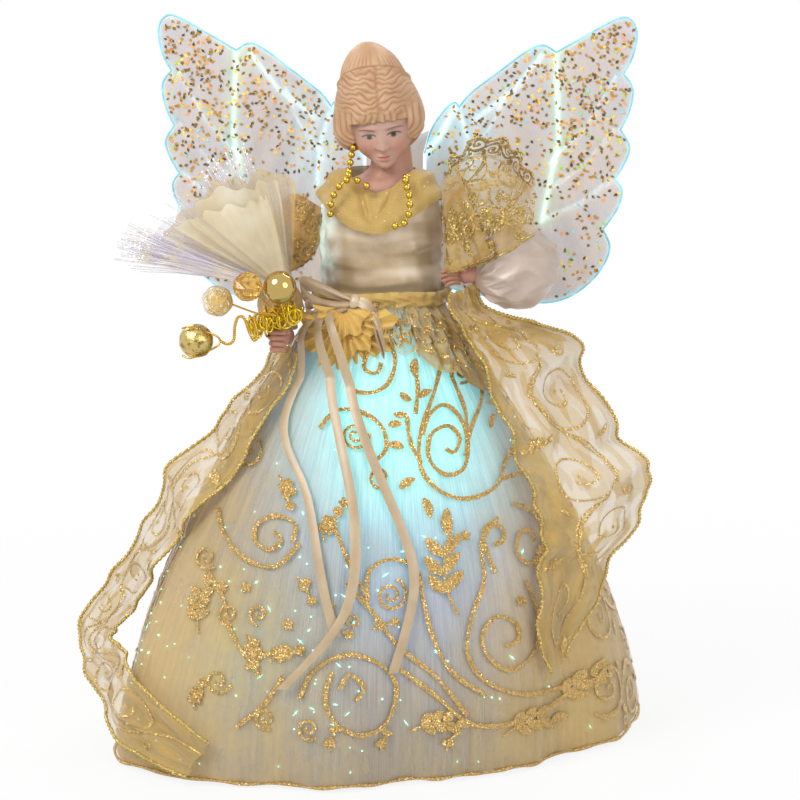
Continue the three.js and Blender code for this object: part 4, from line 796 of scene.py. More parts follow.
def front_strokes():
    flat = []
    for points in front_lines:
        line = smooth_line(points, max(24, 5 * len(points)))
        flat.append((line, 2.0 + 0.3 * np.sin(np.arange(len(line)) * 0.6)))
    for middle, reach, turns in front_rings:
        start = vec(*middle) + reach * vec(math.cos(reach), math.sin(reach))
        line = spiral(vec(*middle), start, turns, 1 if middle[0] > 0 else -1)
        flat.append((line, np.linspace(1.6, 1.3, len(line))))
    for root, angle, length, width, pairs in front_leaves:
        angle = math.radians(angle)
        flat += sprig(root, angle, length, pairs, width) if pairs else [leaf(root, angle, length, width)]
    for middle in front_flowers:
        flat += [leaf(middle, k * FULL / 5 + 0.3, 2.6, 1.6) for k in range(5)]
    return [stroke_strip(line, widths, front_chart) for line, widths in flat]


def beside_front(line, widths, around):
    """The parts of a stroke that lie outside the front's own pattern."""
    turn = line[:, 0] / around * FULL - front_turn
    outside = np.abs((turn + math.pi) % FULL - math.pi) > front_half
    cuts = np.flatnonzero(np.diff(outside.astype(int))) + 1
    split = (np.split(values, cuts) for values in (line, outside, np.broadcast_to(widths, len(line))))
    for part, kept, wide in zip(*split):
        if kept[0] and len(part) > 4:
            yield part, wide


def make_scrolls():
    look = glitter_look("gown_glitter", glitter_dark, glitter_light, 0.36, edge=1.25)
    strokes = front_strokes()
    for z, bays, height, width, phase in scroll_rows:
        around = FULL * float(np.mean(skirt_radius(np.linspace(0, FULL, 60), z)))

        def chart(x, y):
            height = np.clip(z + scroll_steepness * (y - z), least_scroll_height, waist - least_scroll_height)
            return on_skirt(x / around * FULL, height, scroll_stand)

        for line, widths in running_scroll(around, bays, z, height, width, phase):
            for part, wide in beside_front(line, widths, around):
                strokes.append(stroke_strip(part, wide, chart))
    glitter_piece("gown_scrolls", strokes, look)

    turn = np.linspace(0, FULL, 721)
    grain = glitter_look("hem_glitter", glitter_dark, glitter_light, 0.4)
    line = on_skirt(turn, skirt_foot + 1.0 + 0.4 * np.sin(23 * turn), 0.4)
    hem, faces = tube_mesh(line, 0.7 + 0.2 * np.sin(np.linspace(0, FULL, len(line)) * 37), 7, capped=False)
    mesh_piece("gown_hem", hem, faces, grain, "gold_organza")


def make_glints():
    """Ends of the light fibres that show through the gown, most of them low on her right side."""
    look = Look("fibre_glints")
    look.set(Base_Color=paint(210, 255, 240), Emission_Color=paint(140, 255, 226), Emission_Strength=2.2)
    specks, glint_count, front_count, low_count, depth = [], 170, 110, 90, -0.35
    for k in range(glint_count):
        turn = front_turn + (rng.normal(-0.35, 0.6) if k < front_count else rng.uniform(1, 5.2))
        z = rng.uniform(6, 100) if k < low_count else rng.uniform(20, 140)
        middle = on_skirt(turn, z, depth)
        along = unit(on_skirt(turn + 0.05, z + rng.uniform(-8, 8), depth) - middle)
        if k % 3 == 0:
            reach = along * rng.uniform(0.8, 2.0)
            specks.append(tube_mesh([middle - reach, middle, middle + reach], [0.05, 0.2, 0.05], 5))
        points, faces = ball(rng.uniform(0.26, 0.46), 8, 6)
        specks.append((points + middle, faces))
    points, faces = many(specks)
    mesh_piece("fibre_ends", points, faces, look.made, "light_fibre")


# Wings: pressed film with glowing veins and rims, and gold flakes on it with a faint painted glow
wing_near, wing_foot, wing_back = 13.1, waist - 6.2, 40.6
wing_size = vec(92, 123)  # span and height
lobe_shares = [
    [(0, 0.52), (0.03, 0.6), (0.09, 0.67), (0.14, 0.7), (0.162, 0.683)],
    [(0.162, 0.683), (0.22, 0.735), (0.36, 0.815), (0.49, 0.886), (0.56, 0.902), (0.618, 0.878)],
    [(0.618, 0.878), (0.77, 0.943), (0.9, 0.995), (0.96, 0.995), (0.993, 0.95), (0.977, 0.87), (0.934, 0.805)],
    [(0.934, 0.805), (0.977, 0.756), (0.966, 0.683), (0.923, 0.61)],
    [(0.923, 0.61), (0.966, 0.553), (0.945, 0.496), (0.9, 0.439)],
    [(0.9, 0.439), (0.934, 0.398), (0.912, 0.333), (0.847, 0.26)],
    [(0.847, 0.26), (0.88, 0.195), (0.836, 0.114), (0.738, 0.04), (0.618, 0), (0.455, 0), (0.2, 0.03), (0, 0.065)],
]
vein_shares = [  # from, to, width in millimetres, brightness
    ((0.618, 0.87), (0.56, 0.29), 1.5, 1.0), ((0.14, 0.68), (-0.02, 0.5), 2.2, 1.2), ((0.17, 0.66),
    (0.23, 0.42), 1.3, 0.5),
    ((0.55, 0.87), (0.25, 0.65), 1.3, 0.75), ((0.9, 0.8), (0.6, 0.5), 1.2, 0.3), ((0.88, 0.44), (0.58, 0.3), 1.2, 0.3),
    ((0.4, 0.78), (0.2, 0.5), 1.0, 0.25), ((0.9, 0.62), (0.62, 0.42), 1.0, 0.2),
]
flake_colours = [
    (0.30, (128, 98, 42)), (0.60, (180, 134, 58)), (0.70, (92, 68, 32)), (0.84, (236, 160, 84)),
    (0.94, (248, 208, 84)), (0.97, (168, 208, 80)), (1.0, (140, 214, 214)),
]


def wing_outline():
    lines = [smooth_line(np.array(lobe, float), 8 * (len(lobe) - 1))[:-1] for lobe in lobe_shares]
    return np.concatenate([*lines, [lobe_shares[-1][-1]]]) * wing_size


def is_inside(points, outline):
    x, y = points[:, :1], points[:, 1:]
    a, b = outline, np.roll(outline, -1, 0)
    crosses = (a[:, 1] > y) != (b[:, 1] > y)
    fall = b[:, 1] - a[:, 1]
    at = a[:, 0] + (y - a[:, 1]) / np.where(fall == 0, 1, fall) * (b[:, 0] - a[:, 0])
    return (crosses & (x < at)).sum(1) % 2 == 1


def gap_to(points, line):
    """Distance from each point to the nearest part of a line."""
    a, along = line[:-1], np.diff(line, axis=0)
    share = np.clip(((points[:, None] - a) * along).sum(-1) / (along**2).sum(-1), 0, 1)
    return np.linalg.norm(points[:, None] - (a + share[..., None] * along), axis=-1).min(1)


def vein_lines():
    for start, end, width, power in vein_shares:
        start, end = vec(*start) * wing_size, vec(*end) * wing_size
        bow = vec(start[1] - end[1], end[0] - start[0]) * 0.06
        yield np.array([start, (start + end) / 2 + bow, end]), width, power


def wing_relief(plan, rim):
    """How far the film stands behind its middle plane: pillows between pressed veins, and a bent rim."""
    relief = 1.3 * np.exp(-rim / 5) - 0.5 + 0.25 * np.sin(plan[:, 0] * 0.45 + plan[:, 1] * 0.2)
    for line, width, _ in vein_lines():
        relief += 0.9 * bump(gap_to(plan, line), width * 1.2)
    return np.clip(relief, -1.2, 1.4)


def film_look():
    look = Look("wing_film_glow")
    glow, lit, mint = (look.channel(k, look.tone()) for k in range(3))
    halo = look.blend(mint, paint(52, 206, 240), paint(96, 222, 156))
    hue = look.share(look.noise(look.place(), 16.0, 2.0), 0.35, 0.65)
    creases = look.noise(look.place((1, 1, 0.35)), 2.2, 4.0, 0.6)
    return look.set(
        Base_Color=look.blend(hue, paint(208, 190, 178), paint(194, 187, 190)), Roughness=0.22, Alpha=0.82,
        Specular_IOR_Level=0.7, Normal=look.rough(creases, 0.5, 0.8),
        Emission_Color=look.blend(lit, halo, paint(206, 252, 255)),
        Emission_Strength=look.times(glow, look.math("MULTIPLY_ADD", creases, 1.2, 0.4)))


def rim_look():
    look = Look("wing_rim")
    streaks = look.noise(look.place(), 7.0, 3.0)
    return look.set(
        Base_Color=paint(132, 206, 222), Roughness=0.2, Alpha=0.85,
        Emission_Color=look.blend(look.share(streaks, 0.35, 0.65), paint(60, 200, 230), paint(170, 240, 246)),
        Emission_Strength=look.times(look.share(streaks, 0.2, 0.75), 0.55))


def film_plan(outline):
    """Plan points and faces of the film: its outline, filled with an even grid of triangles."""
    step, rim_gap = 1.25, 0.7
    x, y = np.meshgrid(np.arange(0, wing_size[0], step), np.arange(-2, wing_size[1] + 2, step * 0.87))
    x = x + (np.arange(len(x)) % 2)[:, None] * step / 2
    grid = np.stack([x.ravel(), y.ravel()], -1)
    grid = grid[is_inside(grid, outline)]
    grid = grid[gap_to(grid, np.concatenate([outline, outline[:1]])) > rim_gap]
    everything = [Vector(point) for point in np.concatenate([outline, grid])]
    made = geometry.delaunay_2d_cdt(everything, [], [list(range(len(outline)))], 1, 1e-5)
    return np.array([tuple(point) for point in made[0]]), [list(face) for face in made[2]]


def film_tone(plan, rim):
    """How bright, how white and how green the light in the film is at each plan point."""
    glow, lit = 0.4 * bump(rim, 1.2) + 0.05 * bump(rim, 5), 0.3 * bump(rim, 1.0)
    mint = bump(gap_to(plan, next(vein_lines())[0]), 8.5)
    for line, width, power in vein_lines():
        gap = gap_to(plan, line)
        glow += power * (0.95 * bump(gap, width * 0.7) + 0.22 * bump(gap, width * 3.4))
        lit = np.maximum(lit, bump(gap, width * 0.36))
    patch = bump(np.linalg.norm((plan - vec(22, 62)) / vec(14, 22), axis=1), 1)
    return np.stack([glow + 0.3 * patch, np.maximum(lit, 0.5 * patch), mint], -1)


def flake_corners(outline, edge):
    """Four plan corners for each flake: thick at the top and outside, thin near the body, none on the rim."""
    spots = rng.uniform(0, 1, (3600, 2)) * wing_size
    spots = spots[is_inside(spots, outline)]
    rim = gap_to(spots, edge)
    keep = (0.12 + 0.38 * ease(38, 90, spots[:, 1]) + 0.2 * ease(40, 80, spots[:, 0])) * ease(0.6, 1.6, rim)
    spots = spots[rng.uniform(0, 1, len(spots)) < keep]
    turn = rng.uniform(0, FULL, len(spots))
    long, wide = rng.uniform(0.8, 1.2, len(spots)), rng.uniform(0.5, 0.78, len(spots))
    along = np.stack([np.cos(turn), np.sin(turn)], -1) * long[:, None]
    across = np.stack([-np.sin(turn), np.cos(turn)], -1) * wide[:, None]
    return spots, np.stack([spots + along, spots + across, spots - along, spots - across], 1)


def make_wing(side, film, rim, flake):
    name = "left_wing" if side > 0 else "right_wing"
    outline = wing_outline()
    edge = np.concatenate([outline, outline[:1]])

    def place(plan, back):
        return np.stack([side * (plan[:, 0] + wing_near), wing_back + back, plan[:, 1] + wing_foot], -1)

    def piece(kind, points, faces, look, **more):
        return mesh_piece(f"{name}_{kind}", points, faces, look, "wing_film", name, **more)

    plan, faces = film_plan(outline)
    rim_gap = gap_to(plan, outline)
    made = piece("film", place(plan, wing_relief(plan, rim_gap)), faces, film, replaces=[name])
    give_tone(made, film_tone(plan, rim_gap))
    piece("rim", *tube_mesh(place(outline, wing_relief(outline, np.zeros(len(outline)))), 0.42), rim)

    spots, corners = flake_corners(outline, edge)
    behind = wing_relief(spots, gap_to(spots, outline))[:, None] - 0.35 + rng.uniform(-0.12, 0.12, (len(spots), 4))
    points = place(corners.reshape(-1, 2), behind.ravel())
    made = piece("flakes", points, np.arange(len(points)).reshape(-1, 4).tolist(), flake, smooth=False)
    pick = np.searchsorted([share for share, _ in flake_colours], rng.uniform(0, 1, len(spots)))
    give_tone(made, np.repeat(np.array([paint(*colour) for _, colour in flake_colours])[pick], 4, axis=0))


def make_wings():
    film, rim = film_look(), rim_look()
    flakes = Look("wing_flakes_glowing")
    tone = flakes.tone()
    # the flakes glow faintly in their own colours: painted light
    flakes.set(Base_Color=tone, Metallic=0.25, Roughness=0.35, Emission_Color=tone, Emission_Strength=0.25)
    for side in (1, -1):
        make_wing(side, film, rim, flakes.made)
    dress(film, "wing_tab")
    foot, top, side = box_mm("wing_tab")[1][2] + 0.2, 256.0, wing_near - 0.7

    def crest_at(u, v):
        height = mix(foot, top - 4.0 * np.sin(u * math.pi), v)
        x = (2 * u - 1) * (side + 0.28 * np.maximum(height - wing_foot - 0.52 * wing_size[1], 0))
        return np.stack([x, wing_back + 0.5 * np.sin(x * 0.7) * v, height], -1)

    crest, v = shell_piece("tab_crest", crest_at, (30, 16), film, "wing_film")
    rise = bump(v - 1, 0.1)
    give_tone(crest, np.stack([0.25 * rise, rise, 0 * rise], -1))


def dress(look, *nodes):
    for node in nodes:
        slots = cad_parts[node].data.materials
        slots.clear()
        slots.append(look)


# Torso: satin bodice, tulle collar, bead chain
torso_shares = [  # rise, and shares of the core's reach to the sides and to the front
    (0, 0.77, 0.92), (0.07, 0.93, 0.98), (0.35, 0.97, 1), (0.75, 1, 1), (0.92, 0.93, 0.92),
    (1, 0.78, 0.76),
]
core_height, core_reach = 46.0, (25.0, 18.5)  # its reach to the sides and to the front
core_top = waist + core_height - 0.2
bodice_hem, bodice_stand, bodice_flare = (26.4, 20.6), 1.2, 0.3


def bodice_oval(rise):
    rows = np.array(torso_shares)
    flare = np.clip(1 - rise / bodice_flare, 0, 1)
    return [mix(np.interp(rise, rows[:, 0], rows[:, k + 1]) * core_reach[k] + bodice_stand, bodice_hem[k], flare)
            for k in range(2)]


bodice_folds = [  # height, half-width, stand, middle round the body, reach round it
    (0.60, 0.09, 1.7, 4.45, 1.0), (0.47, 0.05, 1.5, 5.35, 0.55), (0.36, 0.06, 1.6, 4.05, 0.6),
    (0.22, 0.07, 1.8, 4.9, 1.1), (0.08, 0.045, 1.2, 4.4, 0.8),
]


def bodice_at(u, v):
    turn = u * FULL
    front = np.clip(-np.sin(turn), 0, 1)
    rise = mix(-0.01, 0.98, v)
    width, depth = bodice_oval(np.clip(rise, 0, 1))
    stand = 0.0
    for k, (height, half, tall, centre, reach) in enumerate(bodice_folds):
        sway = (0.10 - 0.03 * k) * np.cos(turn + 0.5 * k) + 0.015 * np.sin(4 * turn + 2 * k)
        gap = (rise - height + 0.05 * front**2 - sway) / half
        stand = stand + tall * np.where(gap < 0, bump(gap, 0.8), bump(gap, 1.6)) * bump(turn - centre, reach)
    pinch = bump(np.abs(np.cos(turn)) - 1, 0.12) * 0.35 * np.sin(rise * 34 + 2 * np.sin(turn * 3))
    stand = stand + pinch + 0.18 * np.sin(17 * turn + 9 * rise)
    return oval(width + stand, depth + stand, turn, waist + core_height * rise)


collar_outer, collar_neck = (26.6, 24.4, 22.6), (14.0, 17.6, 12.0)  # half-width, front and back reach
collar_rise, collar_notch, collar_side, collar_drop, collar_swell = 8.6, 11.0, 3.0, 16.5, 2.6


def collar_at(u, v, stand):
    turn = u * FULL
    front = -np.sin(turn)
    frontness = np.clip(front, 0, 1) ** 3
    inner, outer = (
        oval(reach[0], np.where(front > 0, reach[1], reach[2]), turn, height)
        for reach, height in ((collar_neck, core_top + collar_rise - collar_notch * frontness),
                              (collar_outer, core_top - collar_side - (collar_drop - collar_side) * frontness)))
    out = unit(oval(1, 1, turn, 0.8))
    lift = collar_swell * np.sin(math.pi * v) + stand
    return mix(inner, outer, v[..., None]) + out * lift[..., None]


collar_creases = [(-0.28, 0.5, 2.4), (0.3, -0.7, 1.8), (-0.85, 0.4, 1.8), (0.95, -0.4, 1.8), (-0.02, 0.1, 1.2)]


def collar_folded(u, v):
    turn = (u - 0.75) * FULL
    roll = 1.3 * np.sin(math.pi * v) * np.sin(2.2 * v * math.pi + 1.3 * np.cos(turn))
    crease = 0.0
    for start, lean, deep in collar_creases:  # where it starts, how it leans, how deep it is
        crease = crease - deep * bump(turn - start - lean * (v - 0.3), 0.08) * np.sin(math.pi * np.clip(v + 0.15, 0, 1))
    soft = 0.45 * np.sin(9 * turn + 3 * v) * v + 0.25 * np.sin(23 * turn + 5 * v) * v**2
    lift = bump(turn - 0.02, 0.62) * (1 - v) ** 1.5
    return collar_at(u, v, 1.0 + roll + crease + soft) + lift[..., None] * vec(0, 3.2, 2.4)


bead_spots = [  # middles along the chain: up over her right side, round the neck and down over her left side
    (-18.1, -22, 225.9), (-18, -22.5, 228.8), (-16.9, -22.8, 233), (-15.1, -22.5, 236.7), (-11.6, -21.5, 239.8),
    (-10.8, -20, 242), (-10.5, -17, 246.8), (-10.4, -14, 250), (-9.5, -9, 254), (-7, -3, 257), (-2, 4, 257),
    (5, 8, 252), (11, 8, 244), (13, 2, 239), (12.8, -6, 239.5), (12.5, -12, 240.5), (12.5, -16, 240.7),
    (13.7, -20, 237.8), (15.3, -23.5, 233.6), (15.7, -25.8, 229.7), (14.9, -26.8, 225.2), (12.8, -27.2, 222.4),
    (9.8, -27.2, 221.9),
]
bead_branch = [(-10.8, -20, 242), (-8, -20.2, 240.5), (-5.2, -20.6, 238.9), (-3, -20.6, 237.7)]
bead_radius, bead_pitch = 1.5, 4.1


def make_beads():
    gold = metal_look("bead_gold", (206, 172, 66), 0.14)
    chains = [smooth_line(spots, 300) for spots in (bead_spots, bead_branch)]
    points, faces = ball(bead_radius)
    beads = [(points + place, faces) for chain in chains
             for place in smooth_line(chain, int(line_length(chain) / bead_pitch) + 1)]
    mesh_piece("necklace_beads", *many(beads), gold, "gold_bead", replaces=["bead_chain"])
    mesh_piece("necklace_thread", *many([tube_mesh(chain[::2], 0.3, 5) for chain in chains]), gold, "gold_bead")


def satin_glow(look):
    """Light from the wing behind, on the bodice's edge at her right side."""
    spot = look.place()
    near = look.times(look.share(look.axis(0, spot), -13.0, -25.0), look.share(look.axis(2, spot), 192.0, 210.0))
    near = look.times(near, look.share(look.axis(1, spot), 9.0, 0.0))
    clouds = look.share(look.noise(spot, 7.0, 2.0), 0.25, 0.65)
    look.set(Emission_Color=paint(206, 250, 250), Emission_Strength=look.times(near, look.times(clouds, 0.9)))


def make_torso():
    # the bodice satin gets broad bands of painted shade and painted highlight
    satin = satin_look("bodice_satin", champagne, champagne_shade, satin_glow, ((148, 124, 86), (222, 202, 174)))
    cloth_piece("bodice_cloth", bodice_at, (220, 90), satin, "champagne_satin", True,
                ["bodice"])
    tulle = tulle_look("collar_tulle", (214, 182, 108), (180, 144, 70), 0.9)
    cloth_piece("collar_cloth", collar_folded, (260, 30), tulle, "gold_tulle", True,
                ["collar"])
    make_beads()


# Sleeves: gathered puffs about a line, frills with wired glitter edges
arm_reach = 66.0
arm_shares = np.array([
    (-0.55, -0.5, -0.68), (-0.62, -0.28, -0.42), (-0.6, -0.1, -0.14), (-0.43, 0, 0), (0, 0, 0), (0.5, 0, 0),
    (0.82, -0.02, -0.02), (0.97, -0.1, -0.14), (0.95, -0.18, -0.28), (0.78, -0.25, -0.36), (0.62, -0.28, -0.38),
])
arm_path = arm_shares * arm_reach + vec(0, 0, shoulder)


def puff_at(middle, along, size, ends, folds, stand=0.0):
    """A puff of cloth about a line, of a size along and across it, from one gathered end to the other in degrees.

    folds(turn, v) is how far its skin stands out, and stand lifts what is printed on it."""
    axes, direction = np.array(Vector(UP).rotation_difference(Vector(along)).to_matrix()), unit(vec(*along))
    length, width, depth = size

    def at(u, v):
        turn, fall = u * FULL, np.radians(mix(*ends, v))
        out = folds(turn, v) + stand
        across = (width * np.sin(fall) + out) * np.cos(turn)
        deep = (depth * np.sin(fall) + out) * np.sin(turn)
        far = -length * np.cos(fall)
        return middle + across[..., None] * axes[:, 0] + deep[..., None] * axes[:, 1] + far[..., None] * direction

    return at


def crisp(turn, v, seed, counts=(7, 11, 17)):
    """Sharp folds of crisp cloth that wander from end to end."""
    total = 0.0
    for k, count in enumerate(counts):
        phase = seed * (k + 1) * 1.7
        wander = 0.7 * np.sin(2.3 * v * math.pi + phase) + 0.3 * np.sin(turn + phase)
        total = total + (1 - np.abs(np.sin(0.5 * (count * turn + 3 * wander + phase))) * 2) * 0.8 ** k
    return total


def frill(name, near_line, far_line, ripple, count, look, edge_look, scroll):
    """A strip of cloth between two lines, rippled towards its far edge, with a wired glitter edge there."""
    steps, edge = 120, 0.55
    near, far = smooth_line(near_line, steps + 1), smooth_line(far_line, steps + 1)
    out = unit(np.cross(np.gradient(far, axis=0), far - near))

    def at(u, v):
        k = np.round(u * steps).astype(int)
        wave = ripple * np.sin(u * count * FULL + 1.1 * np.sin(u * 9)) * v**1.2
        return mix(near[k], far[k], v[..., None]) + out[k] * wave[..., None]

    grid = cloth_piece(name, at, (steps, 12), look, "gold_organza")
    wire = tube_mesh(grid[-1], wavy(edge, 0.25, 2.1, steps + 1))
    mesh_piece(name + "_edge", *wire, edge_look, "gold_organza")
    bays, height, turn = scroll
    length, width = line_length(far), line_length(grid[:, steps // 2])

    def chart(x, y):
        share = np.clip(x / length, 0, 1)
        return at(share, np.clip(y / width + 0.55, 0.05, 0.97)) - 0.4 * out[np.round(share * steps).astype(int)]

    scroll_piece(name + "_scrolls", [(length, bays, 0, height, 0.95, turn)], chart, edge_look)


def make_left_sleeve(organza, satin, frill_looks, edge_look, glitter):
    middle = vec(0.68 * arm_reach - 0.5, -1, shoulder + 5.5)
    puff_shape, printed_radius, printed_length = ((1, 0, -0.12), (19.5, 18.0, 15), (20, 160)), 17.0, 50

    def folds(turn, v):
        return 0.9 * crisp(turn, v, 1.3) * (0.5 + 0.5 * np.abs(2 * v - 1)) + 0.6 + 2.0 * np.sin(2 * turn + 5 * v)

    puff = puff_at(middle, *puff_shape, folds)
    cloth_piece("left_puff", puff, (260, 60), organza, "gold_organza", True,
                ["left_puff_sleeve"])
    raised = puff_at(middle, *puff_shape, folds, 0.5)

    def chart(x, y):
        return raised(x / printed_radius / FULL, np.clip(y / printed_length + 0.5, 0.02, 0.98))

    rows = [(printed_radius * FULL, 3, row, height, 1.0, 0.7 * row) for row, height in ((-9, 9), (11, 8))]
    scroll_piece("left_puff_scrolls", rows, chart, glitter)

    frills = [  # name, near and far line, ripple, count of ripples, scrolls
        ("left_frill_top", [(28, -10, 238), (35, -12, 246), (45, -10, 249), (54, -8, 245), (61, -8, 234)],
         [(29, -16, 243), (37, -19, 253), (48, -17, 258), (58, -15, 253), (66, -13, 238)], 1.8, 5, (4, 5, 1.1)),
        ("left_frill_front", [(29, -14, 241), (37, -18, 245), (48, -18, 246), (58, -15, 242), (66, -9, 236)],
         [(31, -23, 204), (38, -27, 205), (48, -29, 208), (58, -29, 213), (67, -24, 219)], 1.0, 3, (3, 11, 0.4)),
        ("left_frill_fall", [(28, -17, 240), (31, -20, 242), (36, -22, 243)],
         [(30, -24, 203), (36, -29, 204), (50, -31, 211)], 1.1, 3, (2, 9, 1.9)),
    ]
    for (*shape, scroll), look in zip(frills, frill_looks):
        frill(*shape, look, edge_look, scroll)

    def gathered(turn, v):
        cuff = ease(0.45, 1.0, v)
        sag = (1.3 * np.sin(2 * turn + 2 * v + 0.6) + 0.9 * np.sin(3 * turn + 3 * v)) * np.sin(math.pi * v)
        return 1.1 * crisp(turn, v, 2.1, (9, 14)) * cuff + 0.6 * crisp(turn, v, 0.6, (4, 7)) * (1 - cuff) + 0.2 + sag

    def tucked(turn, v):
        return 0.5 * crisp(turn, v, 0.9, (5, 8)) * np.sin(math.pi * v)

    bell_middle, bell_turn = mix(arm_path[8], arm_path[9], 0.35), arm_path[10] - arm_path[8]
    bell = puff_at(bell_middle, bell_turn, (18, 16.2, 16.2), (24, 155), gathered)
    cloth_piece("left_bell", bell, (220, 70), satin, "champagne_satin", True,
                ["left_bell_sleeve"])
    # Tissue inside the bell, whose round ends show at its openings
    filling = puff_at(bell_middle, bell_turn, (19.0, 13.6, 13.6), (3, 177), tucked)
    shell_piece("left_bell_filling", filling, (90, 24), satin, "champagne_satin", True)


def make_right_sleeve(look, glitter):
    middle = arm_path[2] + vec(1.6, 0, 0.3)
    puff_shape, printed_radius, printed_length = ((-0.5, -0.2, -0.84), (18.5, 12.6, 12), (25, 155)), 12.5, 42

    def folds(turn, v):
        return 0.9 * crisp(turn, v, 2.9, (5, 9, 13)) * (0.4 + 0.6 * np.abs(2 * v - 1)) + 0.3

    puff = puff_at(middle, *puff_shape, folds)
    cloth_piece("right_puff", puff, (200, 50), look, "gold_organza", True,
                ["right_puff_sleeve"])
    raised = puff_at(middle, *puff_shape, folds, 0.5)

    def chart(x, y):
        return raised(x / printed_radius / FULL, y / printed_length)

    strokes = []
    for row in (-11, 4):
        for line, widths in running_scroll(printed_radius * FULL, 4, row, 7, 1.0, 0.7 * row):
            kept = np.clip(line[:, 1] / printed_length + 0.5, 0.03, 0.97) * printed_length
            strokes.append(stroke_strip(np.stack([line[:, 0], kept], -1), widths, chart))
    glitter_piece("right_puff_scrolls", strokes, glitter)
    lower = puff_at(mix(arm_path[0], arm_path[1], 0.5), arm_path[0] - arm_path[1], (12.5, 9.2, 9.2), (26, 150), folds)
    cloth_piece("right_lower", lower, (160, 40), look, "gold_organza", True,
                ["right_lower_sleeve"])


def make_sleeves():
    glitter = glitter_look("sleeve_glitter", glitter_dark, glitter_light, 0.35, edge=1.6)
    edges = glitter_look("wired_edge", (148, 116, 52), (226, 198, 120), 0.32)
    organza = organza_look("sleeve_organza", (250, 226, 166), (230, 198, 130), (0.08, 0.36))
    satin = satin_look("bell_satin", (206, 188, 174), (180, 157, 139))
    frills = [
        organza_look("sleeve_sheer", (236, 210, 150), (214, 180, 110), (0.12, 0.4)),
        organza_look("fall_organza", (248, 220, 154), (220, 184, 112), (0.08, 0.42), (0.4, 0.3),
                     layers=(0.16, (204, 162, 84))),
        organza_look("folded_organza", (236, 200, 124), (198, 156, 80), (0.25, 0.7), (0.4, 0.3),
                     layers=(0.18, (180, 136, 62))),
    ]
    make_left_sleeve(organza, satin, frills, edges, glitter)
    make_right_sleeve(organza_look("arm_organza", (238, 192, 104), (196, 146, 64), (0.6, 0.95)), glitter)


# Drapes, ribbon, sash and tulle pouf
drape_lie, drape_reach, drape_ripple, drape_ripples, scroll_bay = 4.8, 30.0, 2.0, 7, 48
left_drape_rows = [  # for each edge of the cloth: degrees round the gown, share of the waist's height, stand-off
    (-26, 1.05, 0.5, -42, 1.035, 0.5), (-19, 0.985, 0.75, -39, 0.965, 0.45), (-8, 0.955, 1.1, -35, 0.92, 0.4),
    (0, 0.915, 1.35, -31, 0.84, 0.28), (1, 0.824, 1.2, -28, 0.745, 0.16), (2, 0.7, 1.15, -26, 0.65, 0.1),
    (1, 0.628, 1.3, -26, 0.564, 0.12), (-1, 0.553, 1.05, -26, 0.489, 0.05), (-6, 0.457, 0.5, -30, 0.426, 0),
    (-14, 0.351, 0.12, -35, 0.33, 0), (-24, 0.235, 0, -33, 0.215, 0),
]
right_drape_rows = [
    (206, 0.925, 0.12, 229, 0.9, 0.05), (205, 0.86, 0.1, 229, 0.8, 0), (201, 0.785, 0.1, 226, 0.69, 0),
    (196, 0.707, 0.22, 219, 0.585, 0), (190, 0.606, 0.42, 211, 0.5, 0), (186, 0.5, 0.36, 204, 0.4, 0),
    (185, 0.4, 0.46, 197, 0.325, 0.05), (186, 0.31, 0.66, 194, 0.265, 0.12), (189, 0.22, 0.72, 196, 0.24, 0.3),
    (195, 0.15, 0.46, 203, 0.235, 0.1), (206, 0.1, 0.05, 212, 0.22, 0), (221, 0.055, 0, 226, 0.17, 0),
    (236, 0.022, 0, 240, 0.1, 0),
]


def drape_at(rows, seed):
    def at(u, v, stand=0.0):
        turn_out, rise_out, stand_out, turn_in, rise_in, stand_in = smooth_columns(rows, u)
        gather = 0.5 + 0.5 * np.sin(u * drape_ripples * FULL + 2 * v)
        lift = drape_reach * mix(stand_out, stand_in, v) + drape_ripple * gather
        hems = bump(v, 0.3) + bump(v - 1, 0.3)
        ruffle = 1.5 * hems * np.sin(u * 31 * FULL / 4 + 1.7 * np.sin(9 * u + seed) + 2 * v)
        crinkle = 0.5 * np.sin(u * 63 + 5 * v + seed) * np.sin(7 * v + u * 21) + 0.35 * np.sin(u * 120 + 9 * v * v)
        pleats = 1.1 * np.sin(v * 11 + 3.4 * np.sin(6 * u + seed)) + 0.5 * np.sin(v * 23 - 17 * u)
        pleats = pleats * np.sin(math.pi * v) ** 0.5
        out = drape_lie + np.maximum(lift, 0) + 0.8 * (ruffle + crinkle) + pleats + stand
        turn = np.radians(mix(turn_out, turn_in, v))
        return on_skirt(turn, waist * mix(rise_out, rise_in, v), out)

    return at


def make_drape(name, node, rows, seed, looks):
    cloth, edge_look, glitter = looks
    at = drape_at(rows, seed)
    grid = cloth_piece(name, at, (420, 36), cloth, "gold_organza", replaces=[node])
    wires = [tube_mesh(line, wavy(0.75, 0.35, 1.9, len(line))) for line in (grid[0], grid[-1])]
    mesh_piece(name + "_edges", *many(wires), edge_look, "gold_organza")
    length, width = line_length(grid[18]), line_length(grid[:, 200])

    def chart(x, y):
        return at(np.clip(x / length, 0, 1), np.clip(y / width + 0.5, 0.04, 0.96), 0.5)

    row = (length, int(length / scroll_bay), 0, width * 0.3, 1.2, seed)
    scroll_piece(name + "_scrolls", [row], chart, glitter)


